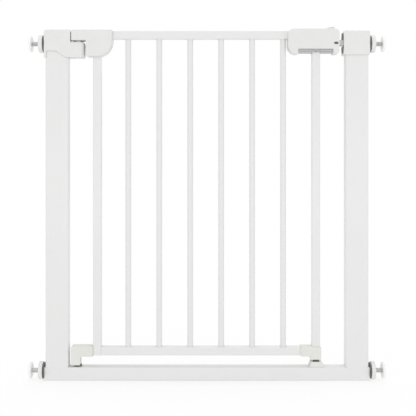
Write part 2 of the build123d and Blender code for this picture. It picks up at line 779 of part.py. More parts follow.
def door_parts():
    """Every piece that only swings with the door."""
    parts = {
        "door_top_rail": door_rail(DOOR_TOP_Z, -1),
        "door_bottom_rail": door_rail(DOOR_FOOT_Z, 1),
        "hinge_stile": hinge_stile(),
        "latch_stile": latch_stile(),
        "hinge_cap_front": hinge_cap_front(),
        "hinge_cap_back": hinge_cap_back(),
        "pivot_foot": pivot_foot(),
        "latch_foot_front": latch_foot_front(),
        "latch_foot_back": latch_foot_back(),
        "handle_front": handle_front(),
        "handle_back": handle_back(),
        "indicator_window": indicator_window(),
        "door_screws": door_screws(),
    }
    for index, x in enumerate(bar_positions()):
        parts[f"door_bar_{index + 1}"] = door_bar(x)
    return parts


def latch_parts():
    """Every piece of the release, the latch bolt and the thumb slider."""
    return {
        "trigger_bar": trigger_bar(),
        "cross_pin": cross_pin(),
        "pull_rod": pull_rod(),
        "floor_bolt": floor_bolt(),
        "release_spring": release_spring(),
        "latch_bolt": latch_bolt(),
        "thumb_slider": thumb_slider(),
    }


def main():
    """Build every node and write one STEP file for each."""
    os.makedirs("parts", exist_ok=True)
    nodes = {**frame_parts(), **spindle_parts(), **door_parts(), **latch_parts()}
    for name, shape in nodes.items():
        export_step(shape, f"parts/{name}.step")


if __name__ == "__main__":
    main()
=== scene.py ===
"""Looks of a pressure-mounted safety gate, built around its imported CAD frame.

All sizes are in metres. X runs along the gate, the door opens towards +Y, and Z is up.
"""

import json
import logging
import math
from collections.abc import Callable, Iterator, Sequence
from contextlib import contextmanager
from dataclasses import dataclass, field, replace
from enum import Enum

import bmesh
import bpy
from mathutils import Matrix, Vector

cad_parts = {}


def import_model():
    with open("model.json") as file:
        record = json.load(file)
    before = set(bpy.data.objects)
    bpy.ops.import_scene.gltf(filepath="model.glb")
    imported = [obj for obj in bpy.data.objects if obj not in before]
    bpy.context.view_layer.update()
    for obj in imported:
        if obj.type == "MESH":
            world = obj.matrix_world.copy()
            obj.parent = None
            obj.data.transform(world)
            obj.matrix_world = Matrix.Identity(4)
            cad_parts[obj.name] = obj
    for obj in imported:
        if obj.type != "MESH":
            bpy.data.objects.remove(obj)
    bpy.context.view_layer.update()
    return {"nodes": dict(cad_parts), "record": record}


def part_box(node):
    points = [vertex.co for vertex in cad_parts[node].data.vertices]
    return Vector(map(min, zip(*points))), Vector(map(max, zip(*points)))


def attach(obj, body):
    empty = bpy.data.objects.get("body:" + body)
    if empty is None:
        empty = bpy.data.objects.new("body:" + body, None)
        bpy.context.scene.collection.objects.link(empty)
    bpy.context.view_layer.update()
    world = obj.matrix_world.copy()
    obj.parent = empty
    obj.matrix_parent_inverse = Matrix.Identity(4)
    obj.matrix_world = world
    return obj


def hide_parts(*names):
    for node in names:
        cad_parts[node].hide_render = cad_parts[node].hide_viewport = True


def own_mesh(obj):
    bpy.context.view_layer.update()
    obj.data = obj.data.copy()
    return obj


LOG = logging.getLogger("safety_gate")
MM = 0.001

Piece = bpy.types.Object
Material = bpy.types.Material
Socket = bpy.types.NodeSocket
Colour = tuple[float, float, float]
Corner = tuple[float, float, float]
Spot = tuple[float, float]
Span = tuple[float, float]
Ring = tuple[float, float]
FaceTest = Callable[[Vector, Vector], bool]
EdgeTest = Callable[[Vector, Vector], bool]


class Join(Enum):
    """How one solid is combined with another."""

    CUT = "DIFFERENCE"
    ADD = "UNION"
    KEEP = "INTERSECT"


class Side(Enum):
    """The two ends of the gate, as the sign of X."""

    LEFT = -1.0
    RIGHT = 1.0


@dataclass(frozen=True)
class Extent:
    """A box in space, from its lowest to its highest corner."""

    low: Vector
    high: Vector

    @classmethod
    def of(cls, *nodes: str) -> "Extent":
        """Return the box around some CAD nodes at rest.

        Args:
            nodes: The names of the nodes.

        Returns:
            The box around all of them.
        """
        boxes = [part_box(node) for node in nodes]
        low = Vector(min(box[0][axis] for box in boxes) for axis in range(3))
        high = Vector(max(box[1][axis] for box in boxes) for axis in range(3))
        return cls(low, high)

    @property
    def centre(self) -> Vector:
        """Return the middle of the box."""
        return (self.low + self.high) / 2

    @property
    def size(self) -> Vector:
        """Return the box's three lengths."""
        return self.high - self.low


# ---------------------------------------------------------------------------
# Modelling bench
# ---------------------------------------------------------------------------
class Bench:
    """The modelling operators, each used on one piece at a time."""

    @staticmethod
    def clear() -> None:
        """Leave nothing selected."""
        bpy.ops.object.select_all(action="DESELECT")

    @staticmethod
    def take(piece: Piece) -> None:
        """Make one piece the only one that is selected and active.

        Args:
            piece: The piece.
        """
        Bench.clear()
        piece.select_set(True)
        bpy.context.view_layer.objects.active = piece

    @staticmethod
    @contextmanager
    def editing(piece: Piece, kind: str = "FACE") -> Iterator[bmesh.types.BMesh]:
        """Open a piece in edit mode with nothing selected.

        Args:
            piece: The piece to edit.
            kind: VERT, EDGE or FACE, the selection mode.
        """
        Bench.take(piece)
        bpy.ops.object.mode_set(mode="EDIT")
        bpy.ops.mesh.select_mode(type=kind)
        bpy.ops.mesh.select_all(action="DESELECT")
        yield bmesh.from_edit_mesh(piece.data)
        bpy.ops.object.mode_set(mode="OBJECT")

    @staticmethod
    def named(name: str) -> Piece:
        """Name the newest primitive and settle its place into its mesh.

        Args:
            name: The piece's name.

        Returns:
            The piece.
        """
        piece = bpy.context.object
        piece.name = name
        piece.data.name = name
        bpy.ops.object.transform_apply(location=True, rotation=True, scale=True)
        return piece

    @staticmethod
    def block(name: str, low: Sequence[float], high: Sequence[float]) -> Piece:
        """Return a box between two corners, as a start for shaping.

        Args:
            name: The piece's name.
            low: Its lowest corner.
            high: Its highest corner.

        Returns:
            The box.
        """
        Bench.clear()
        low_corner, high_corner = Vector(low), Vector(high)
        bpy.ops.mesh.primitive_cube_add(
            size=1, location=(low_corner + high_corner) / 2, scale=high_corner - low_corner
        )
        return Bench.named(name)

    @staticmethod
    def cylinder(
        name: str, start: Sequence[float], end: Sequence[float], radius: float, sides: int = 48
    ) -> Piece:
        """Return a closed cylinder between two points, as a start for shaping.

        Args:
            name: The piece's name.
            start: The middle of one end.
            end: The middle of the other end.
            radius: The radius of both ends.
            sides: How many side faces it has.

        Returns:
            The cylinder.
        """
        Bench.clear()
        foot, head = Vector(start), Vector(end)
        along = head - foot
        bpy.ops.mesh.primitive_cylinder_add(
            vertices=sides,
            radius=radius,
            depth=along.length,
            location=(foot + head) / 2,
            rotation=along.to_track_quat("Z", "Y").to_euler(),
        )
        return Bench.named(name)

    @staticmethod
    def plate(name: str, corners: Sequence[Corner], front: float, back: float) -> Piece:
        """Return an outline drawn in X and Z and extruded along Y.

        Args:
            name: The piece's name.
            corners: The outline as (x, z, corner radius).
            front: The depth of the outline's face.
            back: The depth that it is extruded to.

        Returns:
            The plate.
        """
        Bench.clear()
        bpy.ops.mesh.primitive_plane_add(size=0.01)
        piece = Bench.named(name)
        points = [Vector((x, front, z)) for x, z, _ in corners]
        with Bench.editing(piece, "VERT"):
            bpy.ops.mesh.select_all(action="SELECT")
            bpy.ops.mesh.merge(type="CENTER")
            bpy.ops.transform.translate(value=points[0])
            for near, far in zip(points, points[1:]):
                bpy.ops.mesh.extrude_region_move(TRANSFORM_OT_translate={"value": far - near})
            bpy.ops.mesh.select_all(action="SELECT")
            bpy.ops.mesh.edge_face_add()
            for index, (_, _, radius) in enumerate(corners):
                if radius > 0:
                    Bench.round_corner(piece, points, index, radius)
            bpy.ops.mesh.select_mode(type="FACE")
            bpy.ops.mesh.select_all(action="SELECT")
            bpy.ops.mesh.extrude_region_move(
                TRANSFORM_OT_translate={"value": (0, back - front, 0)}
            )
            bpy.ops.mesh.select_all(action="SELECT")
            bpy.ops.mesh.normals_make_consistent(inside=False)
        return piece

    @staticmethod
    def round_corner(piece: Piece, points: Sequence[Vector], index: int, radius: float) -> None:
        """Round one corner of an outline that is open in edit mode.

        Args:
            piece: The piece in edit mode.
            points: The outline's sharp corners.
            index: Which corner to round.
            radius: The radius of the round.
        """
        corner = points[index]
        before = (points[index - 1] - corner).normalized()
        after = (points[(index + 1) % len(points)] - corner).normalized()
        reach = radius / math.tan(before.angle(after) / 2)
        mesh = bmesh.from_edit_mesh(piece.data)
        for vertex in mesh.verts:
            vertex.select_set((vertex.co - corner).length < 1e-6)
        bmesh.update_edit_mesh(piece.data)
        steps = max(3, min(14, round(radius / (1.2 * MM)) + 3))
        bpy.ops.mesh.bevel(offset=reach, segments=steps, profile=0.5, affect="VERTICES")

    @staticmethod
    def pick_faces(piece: Piece, test: FaceTest) -> int:
        """Select the faces, in edit mode, whose middle and normal pass a test.

        Args:
            piece: The piece in edit mode.
            test: Given a face's middle and its normal.

        Returns:
            How many faces are selected.
        """
        mesh = bmesh.from_edit_mesh(piece.data)
        count = 0
        for face in mesh.faces:
            chosen = test(face.calc_center_median(), face.normal)
            face.select_set(chosen)
            count += chosen
        bmesh.update_edit_mesh(piece.data)
        return count

    @staticmethod
    def pick_edges(piece: Piece, test: EdgeTest) -> int:
        """Select the edges, in edit mode, whose two ends pass a test.

        Args:
            piece: The piece in edit mode.
            test: Given an edge's two ends.

        Returns:
            How many edges are selected.
        """
        mesh = bmesh.from_edit_mesh(piece.data)
        count = 0
        for edge in mesh.edges:
            chosen = test(edge.verts[0].co, edge.verts[1].co)
            edge.select_set(chosen)
            count += chosen
        bmesh.update_edit_mesh(piece.data)
        return count

    @staticmethod
    def round_edges(piece: Piece, test: EdgeTest, width: float, steps: int = 4) -> None:
        """Bevel the edges that pass a test into a round.

        Args:
            piece: The piece to shape.
            test: Given an edge's two ends.
            width: The width of the round.
            steps: How many faces make the round.
        """
        with Bench.editing(piece, "EDGE"):
            if Bench.pick_edges(piece, test):
                bpy.ops.mesh.bevel(
                    offset=width, segments=steps, profile=0.5, affect="EDGES", clamp_overlap=True
                )

    @staticmethod
    def rims(
        piece: Piece, axis: int, places: Sequence[float], width: float, steps: int = 4
    ) -> None:
        """Round the outlines that lie in planes across one axis.

        Args:
            piece: The piece to shape.
            axis: 0, 1 or 2, the axis that the planes cross.
            places: Where each plane lies on the axis.
            width: The width of the round.
            steps: How many faces make the round.
        """
        for place in places:
            Bench.round_edges(
                piece,
                lambda a, b, p=place: abs(a[axis] - p) < 1e-6 and abs(b[axis] - p) < 1e-6,
                width,
                steps,
            )

    @staticmethod
    def inset(piece: Piece, test: FaceTest, thickness: float, depth: float) -> None:
        """Inset the faces that pass a test, and sink or raise their middle.

        Args:
            piece: The piece to shape.
            test: Given a face's middle and its normal.
            thickness: How far in the new edge lies.
            depth: How far the middle rises, or sinks when negative.
        """
        with Bench.editing(piece):
            if Bench.pick_faces(piece, test):
                bpy.ops.mesh.inset(thickness=thickness, depth=depth, use_boundary=True)

    @staticmethod
    def combine(piece: Piece, tool: Piece, how: Join) -> Piece:
        """Combine a piece with a tool solid and throw the tool away.

        Args:
            piece: The piece that is kept.
            tool: The solid that is used up.
            how: Whether the tool is cut, added or kept to.

        Returns:
            The piece.
        """
        Bench.take(piece)
        modifier = piece.modifiers.new("combine", "BOOLEAN")
        modifier.operation = how.value
        modifier.solver = "EXACT"
        modifier.object = tool
        bpy.ops.object.modifier_apply(modifier=modifier.name)
        bpy.data.objects.remove(tool, do_unlink=True)
        return piece

    @staticmethod
    def cut_block(piece: Piece, low: Sequence[float], high: Sequence[float]) -> Piece:
        """Cut a box out of a piece."""
        return Bench.combine(piece, Bench.block("cutter", low, high), Join.CUT)

    @staticmethod
    def cut_hole(
        piece: Piece, start: Sequence[float], end: Sequence[float], radius: float, sides: int = 32
    ) -> Piece:
        """Drill a round hole through or into a piece."""
        return Bench.combine(piece, Bench.cylinder("drill", start, end, radius, sides), Join.CUT)

    @staticmethod
    def clean(piece: Piece) -> None:
        """Merge doubled points and turn every face outwards.

        Args:
            piece: The piece.
        """
        with Bench.editing(piece):
            bpy.ops.mesh.select_all(action="SELECT")
            bpy.ops.mesh.remove_doubles(threshold=2e-6)
            bpy.ops.mesh.normals_make_consistent(inside=False)

    @staticmethod
    def shade(piece: Piece, angle: float = 32.0) -> None:
        """Shade a piece smooth, with creases at edges over an angle in degrees."""
        Bench.take(piece)
        bpy.ops.object.shade_smooth_by_angle(angle=math.radians(angle))

    @staticmethod
    def copy(piece: Piece, name: str, move: Vector, turned: bool = False) -> Piece:
        """Return a copy with its own mesh, moved, and first turned to the other end when asked.

        Args:
            piece: The piece to copy.
            name: The copy's name.
            move: How far the copy is moved after any turning.
            turned: Whether it goes half a turn round Z, which keeps the hand of a thread.

        Returns:
            The copy.
        """
        twin = piece.copy()
        twin.data = piece.data.copy()
        twin.name = name
        twin.data.name = name
        bpy.context.collection.objects.link(twin)
        with Bench.editing(twin, "VERT"):
            bpy.ops.mesh.select_all(action="SELECT")
            if turned:
                bpy.ops.transform.rotate(
                    value=math.pi, orient_axis="Z", center_override=(0, 0, 0)
                )
            bpy.ops.transform.translate(value=move)
        return twin

    @staticmethod
    def halves(
        piece: Piece, names: tuple[str, str], split: float, seam: float
    ) -> tuple[Piece, Piece]:
        """Split a piece across Y into a front and a back shell.

        Args:
            piece: The whole piece, which is used up.
            names: The names of the front and the back shell.
            split: The depth of the parting line.
            seam: Half of the gap left along it.

        Returns:
            The front shell and the back shell.
        """
        shells = []
        for name, clear_back in zip(names, (True, False)):
            shell = Bench.copy(piece, name, Vector((0, 0, 0)))
            with Bench.editing(shell):
                bpy.ops.mesh.select_all(action="SELECT")
                bpy.ops.mesh.bisect(
                    plane_co=(0, split - seam if clear_back else split + seam, 0),
                    plane_no=(0, 1, 0),
                    use_fill=True,
                    clear_outer=clear_back,
                    clear_inner=not clear_back,
                )
            shells.append(shell)
        bpy.data.objects.remove(piece, do_unlink=True)
        return shells[0], shells[1]


# ---------------------------------------------------------------------------
# Shared shader effects
# ---------------------------------------------------------------------------
class Effects:
    """Node groups that several finishes use."""

    GRAIN = "moulding_grain"
    MOTTLE = "slow_mottle"
    WEAR = "edge_wear"
    DUST = "settled_dust"

    @staticmethod
    def start(name: str, inputs: dict[str, float], output: str) -> bpy.types.NodeTree:
        """Return a new group with number inputs and one number output.

        Args:
            name: The group's name.
            inputs: Each input's name and default.
            output: The output's name.

        Returns:
            The group.
        """
        tree = bpy.data.node_groups.new(name, "ShaderNodeTree")
        for label, value in inputs.items():
            socket = tree.interface.new_socket(label, in_out="INPUT", socket_type="NodeSocketFloat")
            socket.default_value = value
        tree.interface.new_socket(output, in_out="OUTPUT", socket_type="NodeSocketFloat")
        tree.nodes.new("NodeGroupInput")
        tree.nodes.new("NodeGroupOutput")
        return tree

    @staticmethod
    def ends(tree: bpy.types.NodeTree) -> tuple[bpy.types.Node, bpy.types.Node]:
        """Return a group's input and output nodes.

        Args:
            tree: The group.

        Returns:
            The input node and the output node.
        """
        given = next(node for node in tree.nodes if node.type == "GROUP_INPUT")
        result = next(node for node in tree.nodes if node.type == "GROUP_OUTPUT")
        return given, result

    @classmethod
    def build(cls) -> None:
        """Build every shared effect once."""
        cls.build_grain()
        cls.build_mottle()
        cls.build_wear()
        cls.build_dust()

    @classmethod
    def build_grain(cls) -> None:
        """Fine relief: two sizes of smooth noise, as orange peel or moulding spark."""
        tree = cls.start(cls.GRAIN, {"Scale": 900.0, "Fine": 0.4}, "Height")
        given, result = cls.ends(tree)
        where = tree.nodes.new("ShaderNodeTexCoord")
        broad = tree.nodes.new("ShaderNodeTexNoise")
        fine = tree.nodes.new("ShaderNodeTexNoise")
        broad.inputs["Detail"].default_value = 1.0
        fine.inputs["Detail"].default_value = 2.0
        faster = tree.nodes.new("ShaderNodeMath")
        faster.operation = "MULTIPLY"
        faster.inputs[1].default_value = 3.1
        mix = tree.nodes.new("ShaderNodeMix")
        links = tree.links
        links.new(given.outputs["Scale"], broad.inputs["Scale"])
        links.new(given.outputs["Scale"], faster.inputs[0])
        links.new(faster.outputs[0], fine.inputs["Scale"])
        links.new(where.outputs["Object"], broad.inputs["Vector"])
        links.new(where.outputs["Object"], fine.inputs["Vector"])
        links.new(given.outputs["Fine"], mix.inputs[0])
        links.new(broad.outputs["Fac"], mix.inputs[2])
        links.new(fine.outputs["Fac"], mix.inputs[3])
        links.new(mix.outputs[0], result.inputs[0])

    @classmethod
    def build_mottle(cls) -> None:
        """Slow variation, from nought to one."""
        tree = cls.start(cls.MOTTLE, {"Scale": 14.0}, "Mask")
        given, result = cls.ends(tree)
        where = tree.nodes.new("ShaderNodeTexCoord")
        noise = tree.nodes.new("ShaderNodeTexNoise")
        noise.inputs["Detail"].default_value = 5.0
        noise.inputs["Roughness"].default_value = 0.6
        spread = tree.nodes.new("ShaderNodeMapRange")
        spread.inputs["From Min"].default_value = 0.3
        spread.inputs["From Max"].default_value = 0.7
        links = tree.links
        links.new(given.outputs["Scale"], noise.inputs["Scale"])
        links.new(where.outputs["Object"], noise.inputs["Vector"])
        links.new(noise.outputs["Fac"], spread.inputs["Value"])
        links.new(spread.outputs["Result"], result.inputs[0])

    @classmethod
    def build_wear(cls) -> None:
        """A patchy mask along convex and concave edges."""
        tree = cls.start(cls.WEAR, {"Radius": 0.0008, "Amount": 0.5}, "Mask")
        given, result = cls.ends(tree)
        rounded = tree.nodes.new("ShaderNodeBevel")
        rounded.samples = 4
        true = tree.nodes.new("ShaderNodeNewGeometry")
        dot = tree.nodes.new("ShaderNodeVectorMath")
        dot.operation = "DOT_PRODUCT"
        spread = tree.nodes.new("ShaderNodeMapRange")
        spread.inputs["From Min"].default_value = 0.995
        spread.inputs["From Max"].default_value = 0.90
        where = tree.nodes.new("ShaderNodeTexCoord")
        patches = tree.nodes.new("ShaderNodeTexNoise")
        patches.inputs["Scale"].default_value = 160.0
        patches.inputs["Detail"].default_value = 4.0
        patchy = tree.nodes.new("ShaderNodeMath")
        patchy.operation = "MULTIPLY"
        amount = tree.nodes.new("ShaderNodeMath")
        amount.operation = "MULTIPLY"
        links = tree.links
        links.new(given.outputs["Radius"], rounded.inputs["Radius"])
        links.new(rounded.outputs["Normal"], dot.inputs[0])
        links.new(true.outputs["Normal"], dot.inputs[1])
        links.new(dot.outputs["Value"], spread.inputs["Value"])
        links.new(where.outputs["Object"], patches.inputs["Vector"])
        links.new(spread.outputs["Result"], patchy.inputs[0])
        links.new(patches.outputs["Fac"], patchy.inputs[1])
        links.new(patchy.outputs[0], amount.inputs[0])
        links.new(given.outputs["Amount"], amount.inputs[1])
        links.new(amount.outputs[0], result.inputs[0])

    @classmethod
    def build_dust(cls) -> None:
        """A mask on surfaces that look up, broken by noise."""
        tree = cls.start(cls.DUST, {"Amount": 0.2}, "Mask")
        given, result = cls.ends(tree)
        shape = tree.nodes.new("ShaderNodeNewGeometry")
        parts = tree.nodes.new("ShaderNodeSeparateXYZ")
        up = tree.nodes.new("ShaderNodeMapRange")
        up.inputs["From Min"].default_value = 0.5
        up.inputs["From Max"].default_value = 1.0
        where = tree.nodes.new("ShaderNodeTexCoord")
        specks = tree.nodes.new("ShaderNodeTexNoise")
        specks.inputs["Scale"].default_value = 260.0
        specks.inputs["Detail"].default_value = 6.0
        both = tree.nodes.new("ShaderNodeMath")
        both.operation = "MULTIPLY"
        amount = tree.nodes.new("ShaderNodeMath")
        amount.operation = "MULTIPLY"
        links = tree.links
        links.new(shape.outputs["Normal"], parts.inputs[0])
        links.new(parts.outputs["Z"], up.inputs["Value"])
        links.new(where.outputs["Object"], specks.inputs["Vector"])
        links.new(up.outputs["Result"], both.inputs[0])
        links.new(specks.outputs["Fac"], both.inputs[1])
        links.new(both.outputs[0], amount.inputs[0])
        links.new(given.outputs["Amount"], amount.inputs[1])
        links.new(amount.outputs[0], result.inputs[0])


# ---------------------------------------------------------------------------
# Finishes
# ---------------------------------------------------------------------------
@dataclass(frozen=True)
class Finish:
    """A surface finish, as the numbers that set it apart."""

    name: str
    slot: str
    colour: Colour
    shade: Colour
    worn: Colour
    roughness: tuple[float, float]
    grain_scale: float
    grain_fine: float
    grain_depth: float
    mottle_scale: float = 14.0
    wear: float = 0.5
    dust: float = 0.12
    metallic: float = 0.0
    coat: float = 0.0
    specular: float = 0.5

    def make(self) -> Material:
        """Return the finish as a Blender material.

        Returns:
            The material.
        """
        material = bpy.data.materials.new(self.name)
        material.use_nodes = True
        nodes, links = material.node_tree.nodes, material.node_tree.links
        shader = nodes["Principled BSDF"]
        shader.inputs["Metallic"].default_value = self.metallic
        shader.inputs["Coat Weight"].default_value = self.coat
        shader.inputs["Coat Roughness"].default_value = 0.18
        shader.inputs["Specular IOR Level"].default_value = self.specular
        mottle = self.effect(nodes, Effects.MOTTLE, {"Scale": self.mottle_scale})
        wear = self.effect(nodes, Effects.WEAR, {"Radius": 0.9 * MM, "Amount": self.wear})
        dust = self.effect(nodes, Effects.DUST, {"Amount": self.dust})
        grain = self.effect(
            nodes, Effects.GRAIN, {"Scale": self.grain_scale, "Fine": self.grain_fine}
        )
        body = self.blend(nodes, links, mottle, self.colour, self.shade)
        edged = self.blend(nodes, links, wear, body, self.worn)
        dusty = self.blend(nodes, links, dust, edged, (0.60, 0.59, 0.57))
        links.new(dusty, shader.inputs["Base Color"])
        rough = nodes.new("ShaderNodeMapRange")
        rough.inputs["To Min"].default_value = self.roughness[0]
        rough.inputs["To Max"].default_value = self.roughness[1]
        links.new(mottle, rough.inputs["Value"])
        links.new(rough.outputs["Result"], shader.inputs["Roughness"])
        bump = nodes.new("ShaderNodeBump")
        bump.inputs["Strength"].default_value = 1.0
        bump.inputs["Distance"].default_value = self.grain_depth
        links.new(grain, bump.inputs["Height"])
        links.new(bump.outputs["Normal"], shader.inputs["Normal"])
        return material

    @staticmethod
    def effect(nodes: bpy.types.Nodes, name: str, values: dict[str, float]) -> Socket:
        """Place a shared effect and return its output.

        Args:
            nodes: The material's nodes.
            name: The effect's group name.
            values: The group's input values.

        Returns:
            The effect's output.
        """
        node = nodes.new("ShaderNodeGroup")
        node.node_tree = bpy.data.node_groups[name]
        for label, value in values.items():
            node.inputs[label].default_value = value
        return node.outputs[0]

    @staticmethod
    def blend(
        nodes: bpy.types.Nodes,
        links: bpy.types.NodeLinks,
        mask: Socket,
        under: Colour | Socket,
        over: Colour,
    ) -> Socket:
        """Mix a colour over another by a mask and return the mixed colour.

        Args:
            nodes: The material's nodes.
            links: The material's links.
            mask: Where the upper colour shows, from nought to one.
            under: The lower colour, or the socket that gives it.
            over: The upper colour.

        Returns:
            The mixed colour.
        """
        mix = nodes.new("ShaderNodeMix")
        mix.data_type = "RGBA"
        links.new(mask, mix.inputs[0])
        if isinstance(under, tuple):
            mix.inputs[6].default_value = (*under, 1.0)
        else:
            links.new(under, mix.inputs[6])
        mix.inputs[7].default_value = (*over, 1.0)
        return mix.outputs[2]


POWDER_COAT = Finish(
    name="white_powder_coat",
    slot="powder_coat",
    colour=(0.755, 0.755, 0.752),
    shade=(0.745, 0.745, 0.742),
    worn=(0.86, 0.86, 0.85),
    roughness=(0.30, 0.40),
    grain_scale=620.0,
    grain_fine=0.25,
    grain_depth=0.00006,
    mottle_scale=9.0,
    wear=0.35,
    coat=0.12,
)
WHITE_PLASTIC = Finish(
    name="white_moulded_plastic",
    slot="white_plastic",
    colour=(0.745, 0.745, 0.73),
    shade=(0.72, 0.72, 0.705),
    worn=(0.84, 0.84, 0.83),
    roughness=(0.42, 0.52),
    grain_scale=1900.0,
    grain_fine=0.5,
    grain_depth=0.00004,
    mottle_scale=22.0,
)
WHEEL_PLASTIC = replace(
    WHITE_PLASTIC,
    name="white_wheel_plastic",
    colour=(0.80, 0.80, 0.785),
    shade=(0.775, 0.775, 0.76),
)
# A whiter copy of the white plastic for the pad cups; part of its extra brightness is painted light
# on the cups' lit faces.
CUP_PLASTIC_WITH_PAINTED_LIGHT = replace(
    WHITE_PLASTIC,
    name="bright_cup_plastic",
    colour=(0.90, 0.90, 0.885),
    shade=(0.88, 0.88, 0.865),
)
IVORY_PLASTIC = Finish(
    name="ivory_moulded_plastic",
    slot="ivory_plastic",
    colour=(0.735, 0.74, 0.70),
    shade=(0.71, 0.715, 0.675),
    worn=(0.80, 0.80, 0.77),
    roughness=(0.42, 0.54),
    grain_scale=1900.0,
    grain_fine=0.5,
    grain_depth=0.00004,
    mottle_scale=22.0,
)
GREY_PLASTIC = Finish(
    name="grey_trigger_plastic",
    slot="grey_plastic",
    colour=(0.52, 0.522, 0.525),
    shade=(0.47, 0.472, 0.475),
    worn=(0.60, 0.61, 0.62),
    roughness=(0.45, 0.58),
    grain_scale=2300.0,
    grain_fine=0.6,
    grain_depth=0.00005,
    mottle_scale=30.0,
    wear=0.7,
)
# Dark plastic: the window's own colour, and painted shade on the spindle bushes and the catch
# lining, where the dark stands for the shade of the gaps beside them.
DARK_PLASTIC_AND_PAINTED_SHADE = Finish(
    name="dark_bush_plastic",
    slot="dark_plastic",
    colour=(0.125, 0.127, 0.13),
    shade=(0.10, 0.102, 0.105),
    worn=(0.18, 0.18, 0.185),
    roughness=(0.40, 0.55),
    grain_scale=2300.0,
    grain_fine=0.6,
    grain_depth=0.00005,
    mottle_scale=30.0,
    wear=0.6,
    dust=0.08,
)
ZINC_STEEL = Finish(
    name="zinc_plated_steel",
    slot="bright_steel",
    colour=(0.62, 0.63, 0.64),
    shade=(0.50, 0.51, 0.53),
    worn=(0.74, 0.74, 0.73),
    roughness=(0.24, 0.40),
    grain_scale=1500.0,
    grain_fine=0.6,
    grain_depth=0.00002,
    mottle_scale=60.0,
    wear=0.8,
    dust=0.05,
    metallic=1.0,
)
PAD_RUBBER = Finish(
    name="grey_pad_rubber",
    slot="pad_rubber",
    colour=(0.87, 0.87, 0.86),
    shade=(0.83, 0.83, 0.82),
    worn=(0.62, 0.62, 0.61),
    roughness=(0.62, 0.80),
    grain_scale=1400.0,
    grain_fine=0.7,
    grain_depth=0.00008,
    mottle_scale=40.0,
    dust=0.2,
)
FINISHES = (
    POWDER_COAT,
    WHITE_PLASTIC,
    WHEEL_PLASTIC,
    CUP_PLASTIC_WITH_PAINTED_LIGHT,
    IVORY_PLASTIC,
    GREY_PLASTIC,
    DARK_PLASTIC_AND_PAINTED_SHADE,
    ZINC_STEEL,
    PAD_RUBBER,
)


@dataclass
class Wardrobe:
    """Every finish as a material, ready to be given to pieces."""

    materials: dict[str, Material] = field(default_factory=dict)

    def stock(self) -> None:
        """Make every material once."""
        Effects.build()
        for finish in FINISHES:
            self.materials[finish.name] = finish.make()

    def dress(self, piece: Piece, finish: Finish) -> None:
        """Give one material to the whole of a new piece.

        Args:
            piece: The new piece.
            finish: Its finish.
        """
        piece.data.materials.clear()
        piece.data.materials.append(self.materials[finish.name])

    def redress(self, node: Piece, finish: Finish) -> None:
        """Put a material in the slots of a CAD node, whose mesh stays as it is."""
        for slot in node.material_slots:
            slot.material = self.materials[finish.name]


@dataclass
class SubAssembly:
    """What every group of pieces needs: the body it rides on and its finishes."""

    wardrobe: Wardrobe

    def place(self, piece: Piece, body: str, finish: Finish, *nodes: str) -> Piece:
        """Finish a piece: clean it, shade it, dress it and tie it to the frame.

        Args:
            piece: The piece.
            body: The CAD body that it rides on.
            finish: Its surface finish.
            nodes: The CAD nodes that it stands for, if any.

        Returns:
            The piece.
        """
        Bench.clean(piece)
        Bench.shade(piece)
        self.wardrobe.dress(piece, finish)
        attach(piece, body)
        if nodes:
            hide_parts(*nodes)
        LOG.info("%s: %d faces on %s", piece.name, len(piece.data.polygons), body)
        return piece


